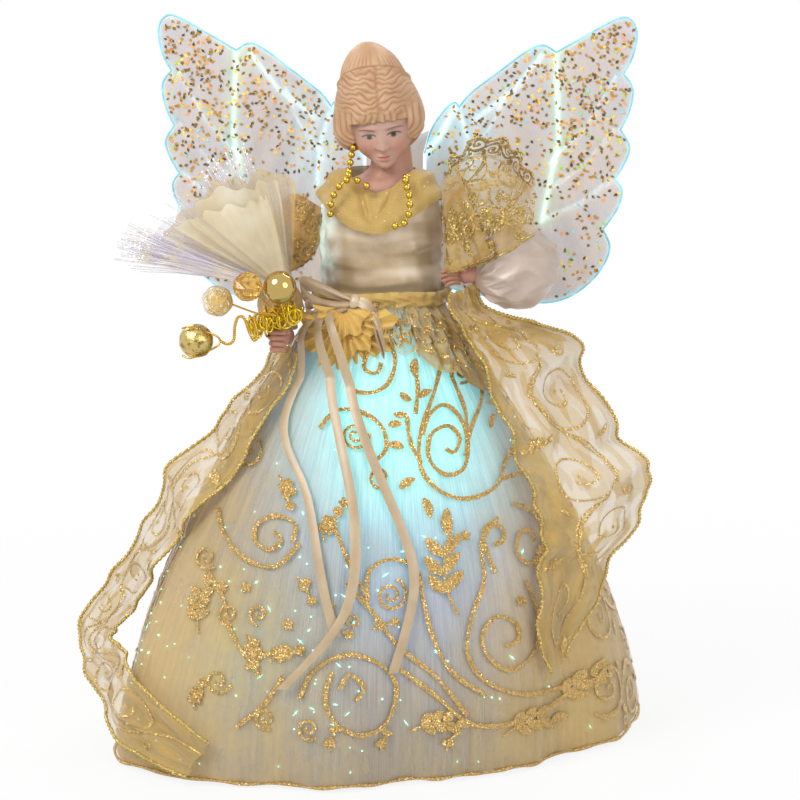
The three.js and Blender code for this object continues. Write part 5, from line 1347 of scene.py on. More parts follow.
ribbon_width, ribbon_lie, ribbon_hang = 4.2, 2.0, 46.6
knot_place, knot_reach = vec(-6, -33.5, 190.5), vec(2.6, 2.6, 3.4)
tail_start = (-118.5, 1.01, 0.79, 1)
tail_rows = [  # degrees round the gown, share of the waist's height, share of the hang, share of the lie
    [tail_start, (-125, 0.955, 1, 1), (-127, 0.89, 1, 1), (-126, 0.76, 1, 1), (-107, 0.61, 1, 1), (-96, 0.39, 1, 1),
     (-93.5, 0.335, 1, 1)],
    [tail_start, (-116, 0.955, 1, 2), (-109, 0.86, 1, 2), (-97, 0.72, 1, 2), (-90, 0.57, 1, 2), (-91, 0.39, 1, 2),
     (-106, 0.22, 1, 2)],
    [tail_start, (-107, 0.955, 1, 1), (-96, 0.82, 1, 1), (-84, 0.68, 1, 1), (-74, 0.53, 1, 1), (-72, 0.42, 1, 1),
     (-78.5, 0.25, 1, 1)],
]
bow_loops = [  # name, shift from the knot, reach to the side, rise, droop, ribbon width, lean of the ribbon
    ("bow_left", (0, 0, 0), -23, 4.6, 6.0, 9.0, 0.95), ("bow_right", (0, 0, 0), 9, 3.6, -8.0, 8.4, -0.9),
    ("bow_low", (7, -2.5, -5), 6, 3.6, -14.0, 8.0, -0.9), ("bow_under", (-2, 1.5, -2), -19, 4.0, -1.5, 8.0, 0.8),
]


def make_ribbon(satin, tail_satin):
    for k, rows in enumerate(tail_rows):
        def tail_at(u, v):
            turn, rise, hang_share, lift = smooth_columns(rows, u)
            turn, z = np.radians(turn), waist * rise
            hang = np.maximum(ribbon_hang * hang_share - skirt_radius(turn, z), ribbon_lie * lift)
            half = ribbon_width * (v - 0.5) / (skirt_radius(turn, z) + hang)
            curl = 0.5 * np.sin(u * 11 + k) * (v - 0.5) + 0.25 * (1 - (2 * v - 1) ** 2)
            return on_skirt(turn + half, z, hang + curl)

        cloth_piece(f"ribbon_tail_{k + 1}", tail_at, (110, 8), tail_satin, "champagne_satin",
                    replaces=["waist_ribbon"] if k == 0 else ())

    for name, shift, reach, rise, droop, width, lean in bow_loops:
        def loop_at(u, v):
            turn = u * FULL
            out = (1 - np.cos(turn)) / 2
            across = width * (v - 0.5) * (0.45 + 0.55 * out)
            z = rise * np.sin(turn) * (0.35 + 0.65 * out) + droop * out**1.5 + across * math.sin(lean)
            pleat = 0.5 * np.sin(3 * math.pi * v) * (1 - out)
            y = pleat - across * math.cos(lean) - 2.5 * np.sin(math.pi * out)
            return knot_place + vec(*shift) + np.stack([reach * out, y, z], -1)

        cloth_piece(name, loop_at, (60, 10), satin, "champagne_satin", True)

    points, faces = ball(1.0, 20, 14)
    wrinkle = 1 + 0.07 * np.sin(9 * np.arctan2(points[:, 2], points[:, 1]))
    knot = points * knot_reach * wrinkle[:, None] + knot_place
    mesh_piece("bow_knot", knot, faces, satin, "champagne_satin")


pouf_layers = [  # name, middle, reach, from and to angle, pleats, stand
    ("pouf_back", (-9, 181), 19.0, (165, 385), 15, 0.0), ("pouf_front", (-10, 184), 14.5, (175, 372), 13, 1.5),
    ("pouf_top", (-11, 188), 11.0, (170, 365), 9, 3.0),
]


def make_sash(organza, tulle):
    low, high = box_mm("waist_sash")
    width, depth = high[:2] - 1.6

    def band(u, v):
        turn = u * FULL
        swell = 1.7 * np.sin(math.pi * v) + 0.45 * np.sin(3.2 * math.pi * v + 1.2 * np.sin(3 * turn))
        swell = swell + 0.4 * crisp(turn, v, 0.9, (19, 29))
        return oval(width + swell, depth + swell, turn, mix(low[2] - 0.6, high[2] + 0.4, v) + 0.5 * np.sin(4 * turn))

    cloth_piece("sash_band", band, (300, 24), organza, "gold_organza", True,
                ["waist_sash"])

    for k, (name, (x, z), reach, ends, pleats, stand) in enumerate(pouf_layers):
        def fan(u, v):
            turn = np.radians(mix(*ends, u))
            far = reach * mix(0.18, 1.0, v) * (1 + 0.10 * np.sin(pleats * 0.9 * u * math.pi + k) * v)
            px, pz = x + far * np.cos(turn), z + far * np.sin(turn) * 1.05
            pleat = 1.5 * v * np.sin(u * pleats * FULL + 0.8 * np.sin(5 * v + k)) + 1.0 * np.sin(math.pi * v)
            y = -30.5 - stand - 5.5 * v - 2.4 * np.sin(math.pi * v * 0.8) - pleat + 0.012 * (px + 8) ** 2
            return np.stack([px, y, pz], -1)

        cloth_piece(name, fan, (300, 26), tulle, "gold_tulle",
                    replaces=["waist_rosette"] if k == 0 else ())


def make_bunch(name, turns, lows, size, cloth, glitter):
    """Gown cloth gathered up under the sash: turns and lower edge from one end to the other, size for its scrolls."""
    def at(u, v, stand=0.0):
        z = mix(mix(*lows, u) - 3.5 * np.abs(np.sin(7 * u)), waist + 1.5, v)
        pleats = 1.1 * np.sin(u * 29 + 3 * np.sin(5 * v)) + 0.5 * np.sin(u * 53 + 9 * v)
        out = 2.6 + 2.2 * np.sin(math.pi * v) + pleats * (0.4 + 0.6 * np.sin(math.pi * v)) + stand
        return on_skirt(np.radians(mix(*turns, u)), z, out)

    def chart(x, y):
        return at(np.clip(x / long, 0, 1), np.clip(y / high, 0.03, 1), 0.5)

    long, high = size
    cloth_piece(name, at, (180, 26), cloth, "gold_organza")
    scroll_piece(name + "_scrolls", [(long, 2, high / 2, high * 0.5, 1.2, 0.6)], chart, glitter)


def make_drapes():
    cloth = organza_look("drape_organza", (230, 202, 136), (206, 172, 106), (0.42, 0.62), (0.5, 0.2),
                         (138, 180, (194, 154, 82)), layers=(0.17, (212, 172, 92)))
    bunch = organza_look("bunch_organza", (240, 208, 132), (206, 164, 88), (0.15, 0.55))
    side = organza_look("side_organza", (246, 214, 136), (212, 170, 92), (0.5, 0.95), (0.5, 0.3),
                        layers=(0.1, (186, 140, 62)))
    edges = glitter_look("drape_edge", (172, 140, 62), (244, 218, 136), 0.32)
    glitter = glitter_look("drape_glitter", (176, 138, 70), (240, 210, 140), 0.35, edge=1.4)
    satin = satin_look("ribbon_satin", (226, 206, 178), (196, 168, 134))
    tail_satin = satin_look("tail_satin", (204, 180, 144), (176, 150, 116))
    tulle = tulle_look("pouf_tulle", (238, 202, 110), (206, 162, 78))
    sash = organza_look("sash_organza", (244, 208, 122), (206, 162, 80), (0.8, 1.0))
    looks = cloth, edges, glitter
    make_drape("left_swag", "left_drape", left_drape_rows, 0.7, looks)
    make_drape("right_swag", "right_drape", right_drape_rows, 2.1, looks)
    make_bunch("waist_bunch", (-92, -58), (179, 170), (28, 16), bunch, glitter)
    make_bunch("side_bunch", (-60, -8), (171, 150), (38, 28), side, glitter)
    make_ribbon(satin, tail_satin)
    make_sash(sash, tulle)


# Bouquet: pleated wrap, fibre spray, wires, coil and baubles
focus = vec(-32, -39, 196)
stem_turn = unit(vec(math.sin(math.radians(14)), 0.05, math.cos(math.radians(14))))
binding = focus - stem_turn * 9.0
wrap_reach = 56
wrap_layers = [  # name, angles, inner and outer reach, pleats, pleat depth, front at the stem, forward share
    ("wrap_back", (86, 165), (3, 55), 3, 3.6, -1.0, 0.02), ("wrap_middle", (92, 152), (3, 51), 2, 5.0, 2.4, 0.12),
    ("wrap_front", (98, 146), (3, 45), 1, 3.6, 5.0, 0.22), ("wrap_film", (88, 164), (6, 57), 5, 2.0, 1.0, 0.07),
]
spray_groups = [  # count, angles, reach, front from and to
    (120, (156, 172), (60, 75), (3, 10)), (50, (104, 136), (52, 63), (-6, 1)), (24, (138, 166), (54, 68), (-4, 8)),
]


def fan_spot(angle, reach, front):
    angle = np.radians(angle)
    offsets = np.broadcast_arrays(reach * np.cos(angle), -front, reach * np.sin(angle))
    return focus + np.stack(offsets, -1)


def make_wrap(looks):
    for k, ((name, ends, reaches, pleats, deep, at_stem, forward), look) in enumerate(zip(wrap_layers, looks)):
        def fan(u, v):
            edge = 4.5 * np.abs(np.sin(u * pleats * math.pi + k)) + 1.2 * np.sin(u * 37 + k)
            reach = mix(reaches[0], reaches[1] * mix(0.8, 1.0, u) + edge, v)
            sharp = np.arcsin(0.97 * np.cos(u * pleats * FULL + 0.9 * k + 1.1 * np.sin(5 * u + k))) * 0.8
            small = 0.5 * np.arcsin(0.97 * np.sin(u * 23 + 3 * np.sin(4 * u + k))) * v
            curl = 3.5 * np.clip(v - 0.8, 0, 1) * np.sin(u * 17 + k)
            front = at_stem + forward * reach + deep * reach / wrap_reach * sharp + small + curl
            return fan_spot(mix(*ends, u) + 3 * v * v * np.sin(u * 9 + k), reach, front)

        cloth_piece(name, fan, (260, 44), look, "gold_organza",
                    replaces=["bouquet_wrap"] if k == 0 else ())


def make_spray(fibre, tips):
    strands, ends, share = [], [], np.linspace(0, 1, 5)
    for count, angles, reach, fronts in spray_groups:
        for _ in range(count):
            angle, far, front = rng.uniform(*angles), rng.uniform(*reach), rng.uniform(*fronts)
            angle = mix(angle, float(np.mean(angles)), 0.25)
            line = fan_spot(angle + rng.uniform(-4, 4) * share**2, mix(1.5, far, share), mix(0.2, 1, share) * front)
            strands.append(tube_mesh(line, mix(0.2, 0.13, share), 4))
            spot, faces = ball(0.3, 6, 4)
            ends.append((spot + line[-1], faces))
    mesh_piece("spray_strands", *many(strands), fibre, "light_fibre", replaces=["bouquet_fibres"])
    mesh_piece("spray_tips", *many(ends), tips, "light_fibre")


baubles = {  # node: middle and radius
    "gold_ball": (vec(-33.1, -57.5, 199.6), 6.8), "faceted_bead": (vec(-46.4, -57.5, 199.6), 6.2),
    "clear_bead": (vec(-59, -57.5, 193.5), 6.4), "gold_bell": (vec(-68, -57.5, 176.9), 7.0),
}
bell_route = [  # the curled wire, from the bend at the binding to the fork that grips the bell
    (-43.5, -56, 188), (-42.5, -57, 180), (-44, -57, 177.5), (-46, -57, 181), (-48, -57, 186.5), (-50.5, -57, 187),
    (-52, -57, 183), (-52.5, -57, 177.5), (-55, -57, 175.8), (-58, -57, 177),
]


def cut_stone(rings=6, around=10):
    """A unit ball of flat cuts, each row turned by half a cut from the next."""
    points, faces = [vec(0, 0, 1)], []
    for k in range(1, rings):
        fall = math.pi * k / rings
        for j in range(around):
            turn = (j + 0.5 * (k % 2)) / around * FULL
            points.append(vec(math.sin(fall) * math.cos(turn), math.sin(fall) * math.sin(turn), math.cos(fall)))
    points.append(vec(0, 0, -1))
    last = len(points) - 1
    for j in range(around):
        after = (j + 1) % around
        faces += [[0, 1 + j, 1 + after], [last, last - around + after, last - around + j]]
        for k in range(rings - 2):
            a, b = 1 + k * around, 1 + (k + 1) * around
            if k % 2:
                faces += [[a + j, b + j, b + after], [a + j, b + after, a + after]]
            else:
                faces += [[a + j, b + j, a + after], [a + after, b + j, b + after]]
    return np.array(points), faces


def glass_look(name, colour, roughness, clear=0.8, crackle=None):
    look, colour = Look(name), paint(*colour)
    look.set(Base_Color=colour, Roughness=roughness, Transmission_Weight=clear, IOR=1.45)
    if crackle:
        cracks = look.add("TexVoronoi", {"Vector": look.place(), "Scale": 1 / crackle}, feature="DISTANCE_TO_EDGE")
        lines = look.share(cracks, 0.09, 0.0)
        look.set(Base_Color=look.blend(lines, colour, paint(246, 222, 160)), Normal=look.rough(lines, 0.3, 0.8))
    return look.made


def twisted(line, gap, turns, radius):
    """Two wires wound round each other along a line."""
    side, lift = frames_along(line)
    turn = np.linspace(0, turns * FULL, len(line))[:, None]
    off = gap * (np.cos(turn) * side + np.sin(turn) * lift)
    return [tube_mesh(line + off, radius), tube_mesh(line - off, radius)]


def make_bauble(piece, node, shape, look, slot, dents=None, smooth=True):
    """A unit shape, pushed in and out by dents(x, y, z), at its node's size and place."""
    points, faces = shape
    place, size = baubles[node]
    points = points * (dents(*points.T)[:, None] if dents else 1) * size + place
    mesh_piece(piece, points, faces, look, slot, replaces=[node], smooth=smooth)


def make_baubles():
    mirror = metal_look("gold_mirror", (198, 170, 104), 0.06)
    rough = metal_look("gold_rough", (206, 182, 116), 0.16, (2.6, 0.3), (128, 98, 46))
    amber, crackled = glass_look("amber_glass", (234, 190, 96), 0.06), glass_look(
        "crackled_glass", (232, 196, 110), 0.12, 0.62, 2.6)

    def dented(x, y, z):
        seam = 1 + 0.035 * bump(z - 0.25 * x, 0.06)
        return (1 + 0.018 * np.sin(7 * x + 3 * z) * np.sin(6 * y + 2)) * seam

    def lumpy(x, y, z):
        return 1 + 0.03 * np.sin(5 * x + 2 * y) * np.sin(6 * z)

    make_bauble("mirror_ball", "gold_ball", ball(1.0, 48, 32), mirror, "gilt_glass")
    make_bauble("seamed_bell", "gold_bell", ball(1.0, 56, 40), rough, "gilt_glass", dented)
    make_bauble("amber_bead", "faceted_bead", cut_stone(), amber, "crystal", smooth=False)
    make_bauble("crackled_bead", "clear_bead", ball(1.0, 40, 28), crackled, "crystal", lumpy)


def make_pick_wires():
    tie, bell = binding + vec(0, -4.0, 0), baubles["gold_bell"][0]
    bend = tie + vec(0, -8, 0)
    wires = []
    for name in ("gold_ball", "faceted_bead", "clear_bead"):
        place, size = baubles[name]
        near = place + unit(bend - place) * size
        wires.append(tube_mesh(smooth_line([tie, bend, mix(bend, near, 0.5) + vec(1.5, -1, -1.5), near], 40), 0.42))
    wires += twisted(smooth_line([tie, bend, *bell_route], 150), 0.36, 34, 0.36)
    fork = vec(*bell_route[-1])
    for share in (1, -1):
        grip = [fork, mix(fork, bell, 0.2) + vec(0, -1, share * 2.5), bell + vec(-1, -4.5, share * 6.3),
                bell + vec(-5, -3.5, share * 5.6)]
        wires.append(tube_mesh(smooth_line(grip, 30), 0.4))
    ring = binding + oval(3.4, 3.4, np.linspace(0, FULL, 40), 0)
    wires += [tube_mesh(ring + stem_turn * drop, 0.42) for drop in (-1.2, -0.4, 0.4, 1.2)]
    look = metal_look("gilt_wire_gold", (206, 164, 62), 0.18)
    mesh_piece("pick_wires", *many(wires), look, "gilt_wire", replaces=["bauble_wires"])


def make_coil():
    """Gilt wire wound loosely round the stem, with small twisted loops over it."""
    low, high = box_mm("gilt_coil")
    centre = (low + high) / 2 + vec(-3.5, 0.5, 3.2)
    loop_count, small_count, length, slope = 15, 16, 19, 9
    t = np.linspace(0, 1, loop_count * 26)
    turn = t * loop_count * FULL
    reach = 4.2 + 1.0 * np.sin(turn * 0.37) + 0.8 * np.sin(turn * 0.83)
    coil = np.stack([length * (t - 0.5) + 2.2 * np.sin(turn * 0.61), reach * np.cos(turn) - 0.5,
                     reach * np.sin(turn) + slope * (t - 0.35)], -1)
    parts = [tube_mesh(centre + coil, 0.46)]
    angle = np.linspace(0, FULL, 36)
    for k in range(small_count):
        size, tilt = rng.uniform(2.2, 3.6), rng.uniform(0, math.pi)
        share = k / (small_count - 1)
        base = centre + vec(mix(-8, 10, share), -4.5 + rng.uniform(-1, 1), rng.uniform(-3, 3) + slope * (share - 0.35))
        loop = size * np.stack([np.cos(angle) * mix(0.4, 1, abs(math.cos(tilt))), np.sin(angle + tilt) * 0.3,
                                np.sin(angle)], -1)
        parts.append(tube_mesh(base + loop, 0.42, capped=False))
    look = metal_look("bullion_gold", (222, 190, 50), 0.12)
    mesh_piece("bullion_coil", *many(parts), look, "gilt_wire", replaces=["gilt_coil"])


def make_bouquet():
    tulle = organza_look("wrap_tulle", (250, 226, 164), (232, 194, 116), (0.5, 0.85), (0.7, 0.3))
    cream_tulle = organza_look("wrap_cream", (255, 248, 226), (248, 224, 168), (0.55, 0.9), (0.7, 0.3))
    film = organza_look("wrap_shine", (220, 232, 236), (214, 204, 230), (0.10, 0.35))
    make_wrap([tulle, cream_tulle, cream_tulle, film])
    fibre, tips = Look("fibre_clear"), Look("fibre_tips")
    streak = fibre.share(fibre.noise(fibre.place(), 9.0, 2.0), 0.4, 0.6)
    fibre.set(Base_Color=fibre.blend(streak, paint(236, 226, 214), paint(222, 214, 228)), Roughness=0.25,
              Alpha=0.8, Emission_Color=paint(236, 234, 226), Emission_Strength=0.12)
    tips.set(Base_Color=paint(255, 255, 255), Emission_Color=paint(216, 244, 255), Emission_Strength=0.7)
    make_spray(fibre.made, tips.made)
    make_baubles()
    make_pick_wires()
    make_coil()


# Head, neck and hands of tinted bisque
head_centre = vec(0, 0, plate_foot + 31)
head_tilts = (11, -7, 6)  # degrees of nod, tip and turn
skin, blush, shade = paint(198, 156, 138), paint(206, 138, 118), paint(168, 114, 84)
# the groove colour is painted shade, laid in the hair's grooves, along the bun's seam and along the hairline
hair, hair_groove_shade, hair_light = paint(200, 158, 120), paint(152, 106, 70), paint(220, 182, 146)
# centre and half-sizes of the rounded volumes that blend into a head
hair_volumes = [
    ((-1.0, 1.5, 0.0), (18.4, 18.8, 18.4)), ((-1.2, 0, 7.5), (16.0, 16.2, 15.5)), ((-1.8, 3, 18.0), (12.4, 12.6, 10.6)),
    ((-14.5, -3.5, -3.5), (5.4, 8.5, 8.0)), ((12.6, -3.5, -1.5), (5.2, 8.5, 7.6)), ((-0.5, -9, 6), (8.5, 8.3, 6)),
    ((-2.6, 3, 23.5), (7.4, 7.4, 7.4)),
]
face_volumes = [
    ((0, 1.0, 0), (16.4, 16.8, 16.6)), ((0, -8.0, -5.0), (11.2, 10.6, 12.5)), ((0, -14.8, -14.6), (4.6, 4.0, 3.8)),
    ((-5.6, -11, -7.5), (4.8, 6.4, 5.0)), ((5.6, -11, -7.5), (4.8, 6.4, 5.0)),
]


def tilted(points):
    """Points of the upright head, nodded, tipped and turned, at their place on the neck."""
    for (a, b), degrees in zip(((1, 2), (2, 0), (0, 1)), head_tilts):
        cos, sin = math.cos(math.radians(degrees)), math.sin(math.radians(degrees))
        points = np.array(points)
        points[:, a], points[:, b] = cos * points[:, a] - sin * points[:, b], sin * points[:, a] + cos * points[:, b]
    return points + head_centre


def reach_of(volumes, rays, soft=1.1):
    """How far each ray from the middle goes until it leaves the softly joined volumes."""
    low, high = np.full(len(rays), 3.0), np.full(len(rays), 45.0)
    for _ in range(22):
        far = (low + high) / 2
        total = 0.0
        for centre, size in volumes:
            gap = (np.linalg.norm((rays * far[:, None] - vec(*centre)) / vec(*size), axis=1) - 1) * min(size)
            total = total + np.exp(-gap / soft)
        low, high = np.where(total > 1, far, low), np.where(total > 1, high, far)
    return (low + high) / 2


def ridges(value):
    """Rounded ridges with narrow grooves, from -1 in a groove to 0 on a crest."""
    return np.abs(np.sin(math.pi * value)) ** 0.7 - 1


def hair_share(x, y, z):
    """1 where hair covers the head and 0 on the face, with a sharp step between."""
    brow = 2.3 - 0.012 * x * x - 0.7 * np.abs(np.sin(0.8 * x + 0.5)) * ease(11, 6, np.abs(x))
    side = 10.7 - 0.25 * np.sign(x) + 8 * np.clip((-5.5 - z) / 7, 0, 1) ** 2
    above, beside = ease(-0.3, 0.3, z - brow), ease(-0.3, 0.3, np.abs(x) - side)
    behind = ease(-5.0, -3.5, y)
    return np.maximum(np.maximum(above, beside), behind) * ease(-13.6, -12.2, z + 0.10 * x)


def bun_seam(y, z):
    return z - (17.6 + 6.4 * np.clip(-y / 9, -0.3, 1))


def hair_relief(x, y, z):
    """Waves beside a parting, a fringe, rolls round the face, and strands drawn up into the bun."""
    side, sign = np.abs(x), np.sign(x)
    seam = bun_seam(y, z)
    on_bun = ease(-0.3, 0.5, seam)
    row = 0.86 * z + 0.5 * y - 0.030 * side**2
    row = row + 0.85 * np.sin(side * 0.62 + 0.35 * row + sign) + 0.35 * np.sin(side * 1.3 - 0.6 * row + 2 * sign)
    calm = ease(15.5, 9.5, side + 3.0 * sign)
    waves = mix(-0.35, ridges(row / 2.5 + 0.1 * np.sin(row * 1.3)), 0.35 + 0.65 * calm)
    rolls = ridges(np.hypot(side - 7.5, z - 3.0) / 2.5 + 0.25 * np.sin(z * 0.5))
    fringe = ridges((x + 0.22 * (z - 5) * sign + 0.3 * np.sin(z)) / 2.6 + 0.22)
    back_rows = ridges((np.arctan2(x, y) * 7.5) + 0.3 * np.sin(z * 0.5))
    turn = np.arctan2(y - 3.5, x + 0.8)
    strands = ridges(turn * 5.4 + 0.45 * np.sin(3 * turn + 1) + 0.2 * np.sin(7 * turn)) * ease(31, 25, z)

    at_fringe = bump(z - 3.0, 3.2) * ease(9.5, 6.0, side) * ease(-6, -10, y)
    at_rolls = ease(9.0, 12.5, side) * ease(9, 4, z) * ease(4, -3, y)
    at_back = ease(-2, 6, y) * (1 - on_bun)
    relief = waves * (1 - at_fringe) * (1 - at_rolls) * (1 - at_back)
    relief = relief + fringe * at_fringe + rolls * at_rolls * (1 - at_fringe) + back_rows * at_back * 0.8
    parting = bump(x - 0.6, 0.8) * ease(-4, -9, y)
    relief = mix(relief, -0.9, parting * (1 - at_fringe) * 0.8)
    relief = mix(relief * 0.6, strands * 0.36, on_bun)
    band = 0.75 * bump(seam + 1.3, 0.9) - 0.9 * bump(seam - 0.1, 0.42)
    return relief * (1 - 0.7 * bump(seam + 1.2, 1.0)) + band, relief


def face_height(z):
    return 1.14 * z + 3.1


def face_relief(x, z):
    """Nose, eye sockets, lips and chin, drawn on a taller face and pressed to this one's height."""
    side, z = np.abs(x), face_height(z)
    ramp = np.clip((1.8 - z) / 8.2, 0, 1)
    nose = 2.3 * ramp**1.2 * ease(-8.2, -6.4, z) * np.exp(-((x / mix(1.7, 2.1, ramp)) ** 2))
    nose = nose + 0.6 * bump(z + 6.1, 1.3) * bump(x, 1.5) + 0.5 * bump(side - 2.0, 0.8) * bump(z + 6.7, 0.9)
    sockets = -1.0 * bump(side - 4.9, 3.4) * bump(z + 0.4, 2.1) + 0.75 * bump(side - 5.1, 2.5) * bump(z + 1.5, 1.2)
    brow_ridge = 0.35 * bump(side - 5, 3.6) * bump(z - 2.2, 1.0)
    lips = 0.8 * bump(z + 10.8, 0.75) * bump(x, 2.3) + 0.95 * bump(z + 12.4, 0.9) * bump(x, 2.1)
    lips = lips - 0.55 * bump(z + 11.5, 0.3) * bump(x, 2.6) - 0.25 * bump(z + 9.3, 0.8) * bump(x, 0.5)
    chin = 0.7 * bump(z + 16.4, 1.9) * bump(x, 2.8) - 0.45 * bump(z + 14.0, 0.8) * bump(x, 2.2)
    return nose + sockets + brow_ridge + lips + chin


def face_paint(x, z):
    """Colours of the skin and of what is painted on it: cheeks, eyes, brows and lips, with painted shade under the
    chin, at the face's sides and round the nose.
    """
    side, z = np.abs(x), face_height(z)
    mouth = z + 11.5
    open_to = 0.8 * np.clip(1 - ((side - 5.2) / 3.1) ** 2, 0, 1)
    lid = z + 1.35 - open_to
    seen, iris = ease(0.1, -0.1, lid), np.hypot(side - 5.1, z + 1.25)
    lashes = bump(lid - 0.1, 0.38) * ease(8.8, 7.9, side) * ease(1.9, 2.7, side)
    under = bump(lid + 1.6 * open_to + 0.15, 0.2) * ease(7.8, 7.0, side) * ease(2.8, 3.6, side)
    brow = bump(z - 1.75 + 0.055 * (side - 6.2) ** 2, 0.32) * ease(10.3, 8.5, side) * ease(2.2, 3.2, side)
    upper = 1.15 * np.clip(1 - (side / 2.7) ** 1.6, 0, 1) - 0.3 * bump(x, 0.45)
    lower = 1.6 * np.clip(1 - (side / 2.4) ** 2, 0, 1)
    layers = [  # colour, and how much of it lies over what is below
        ((188, 156, 140), 0.6 * ease(-4, 3, z)),
        ((206, 138, 118), 0.6 * bump(side - 7.0, 3.2) * bump(z + 7.0, 3.8)),
        # painted shade under the chin and at the face's sides
        ((168, 114, 84), 0.45 * ease(-14.5, -19, z) + 0.25 * ease(8.5, 12.5, side)),
        # painted shade in the nostrils and under the nose
        ((168, 114, 84), 0.35 * bump(side - 1.9, 0.8) * bump(z + 7.7, 0.5) + 0.22 * bump(z + 8.6, 0.8) * bump(x, 1.6)),
        ((178, 134, 122), 0.6 * bump(side - 5.1, 3.3) * bump(z + 0.1, 1.1)),
        ((176, 160, 146), ease(0.12, -0.05, lid) * ease(-0.12, 0.05, lid + 1.55 * open_to)),
        ((84, 84, 48), ease(1.3, 1.05, iris) * seen),
        ((28, 22, 14), ease(0.85, 0.55, iris) * seen),
        ((44, 24, 14), 0.95 * lashes),
        ((140, 96, 84), 0.5 * under),
        ((120, 80, 60), 0.85 * brow),
        ((182, 104, 92), ease(upper + 0.1, upper - 0.1, mouth) * ease(-0.1, 0.1, mouth) * (side < 2.7)),
        ((196, 122, 106), ease(0.1, -0.1, mouth) * ease(-lower - 0.15, -lower + 0.1, mouth) * (side < 2.4)),
        ((140, 72, 60), 0.7 * bump(mouth, 0.18) * ease(2.9, 2.3, side)),
    ]
    tone = skin
    for colour, share in layers:
        tone = mix(tone, paint(*colour), np.clip(share, 0, 1)[:, None])
    return tone


def bisque_look():
    look = Look("tinted_bisque")
    spot, tone = look.place(), look.tone()
    mottle, fine = look.share(look.noise(spot, 3.5, 3.0), 0.35, 0.65), look.noise(spot, 0.5, 2.0)
    return look.set(Base_Color=look.blend(mottle, look.scaled(tone, 0.93), tone), Specular_IOR_Level=0.4,
                    Subsurface_Weight=0.06, Roughness=look.share(fine, 0.3, 0.7, 0.42, 0.56),
                    Normal=look.rough(fine, 0.03, 0.4))


def make_head(look):
    around, down = 460, 340
    t = np.arange(around) / around - 0.5
    turn = FULL * t - 0.72 * np.sin(FULL * t) - math.pi / 2  # closer together on the face
    rays = round_rays(turn, np.linspace(0, math.pi, down + 2)[1:-1])
    face, cap = reach_of(face_volumes, rays), reach_of(hair_volumes, rays, 1.6)
    spots = rays * face[:, None]
    covered = hair_share(*spots.T)
    cap = np.maximum(cap, face + 1.1)
    waves, depth = hair_relief(*(rays * cap[:, None]).T)
    face = face + face_relief(spots[:, 0], spots[:, 2]) * ease(-2, -8, spots[:, 1])
    points = rays * mix(face, cap + waves, covered)[:, None]

    # painted shade: darker in the hair's grooves, along the bun's seam and along the hairline
    groove = np.clip(-depth * 1.5, 0, 1)[:, None]
    clouds = (0.5 + 0.5 * np.sin(points[:, 0] * 0.5 + np.sin(points[:, 2] * 0.6)))[:, None]
    hair_tone = mix(mix(hair, hair_light, 0.6 * clouds), hair_groove_shade, 0.75 * groove)
    hair_tone = mix(hair_tone, hair_groove_shade, (0.7 * bump(bun_seam(*(rays * cap[:, None]).T[1:]), 0.5))[:, None])
    face_tone = face_paint(spots[:, 0], spots[:, 2])
    edge = (4 * covered * (1 - covered))[:, None]
    head = mesh_piece("bisque_head", tilted(points), round_faces(down, around), look, "bisque",
                      replaces=["porcelain_bust"])
    give_tone(head, mix(mix(face_tone, hair_tone, covered[:, None]), hair_groove_shade, 0.6 * edge))


neck_rows = [  # height over the plate's foot, middle x, half-width, half-depth, middle y
    (0, 0, 19.0, 14.0, 0), (1.8, 0, 18.6, 13.8, 0), (4.2, 1.5, 15.4, 12.0, -0.5), (6.4, 3.2, 11.6, 10.0, -0.3),
    (9.5, 4.3, 9.2, 8.8, 0.2), (14, 4.4, 8.5, 8.3, 0.4), (19, 3.6, 8.6, 8.4, 0.4), (24, 2.0, 9.0, 8.8, 0.4),
]


def make_neck(look):
    def neck_at(u, v):
        rise, middle, width, depth, back = smooth_columns(neck_rows, v)
        turn = u * FULL
        cords = 0.35 * bump(v - 0.45, 0.2) * (bump(turn - 4.45, 0.16) + bump(turn - 5.0, 0.16))
        stand = cords - 0.8 * bump(turn - 4.71, 0.25) * bump(v - 0.42, 0.08)
        return oval(width + stand, depth + stand, turn, plate_foot + rise) + np.stack([middle, back, 0 * middle], -1)

    neck, v = shell_piece("bisque_neck", neck_at, (120, 60), look, "bisque", True)
    give_tone(neck, mix(mix(skin, blush, 0.25), shade, 0.15 + 0.35 * ease(0.35, 0.85, v[:, None])))


def finger(root, middle, tip, radius):
    line = smooth_line([root, middle, tip], 16)
    share = np.linspace(0, 1, 16)
    taper = np.sqrt(np.clip(1 - (share - 0.86) / 0.14, 0.06, 1))
    return tube_mesh(line, radius * (1 - 0.18 * share + 0.07 * bump(share - 0.45, 0.1)) * taper, 12)


def palm(wrist, knuckles, rise, radii, rounding, least):
    """A round palm from wrist to knuckles, closing over the last share of its length."""
    line = smooth_line([wrist, mix(wrist, knuckles, 0.5) + vec(0, 0, rise), knuckles], 14)
    share = np.linspace(0, 1, 14)
    return tube_mesh(line, mix(*radii, share) * np.sqrt(np.clip((1 - share) / rounding, least, 1)), 18)


def make_hand(side, parts, look, dark):
    points, faces = many(parts)
    hand = mesh_piece(f"{side}_fingers", points, faces, look, "bisque", replaces=[f"{side}_hand"])
    # painted shade over the whole hand, by the share dark, with a ripple of more shade across it
    shade_ripple = 0.5 + 0.5 * np.sin(points[:, 0] * 0.9 + points[:, 2])
    give_tone(hand, mix(mix(skin, blush, 0.55), shade, (dark + 0.25 * shade_ripple)[:, None]))


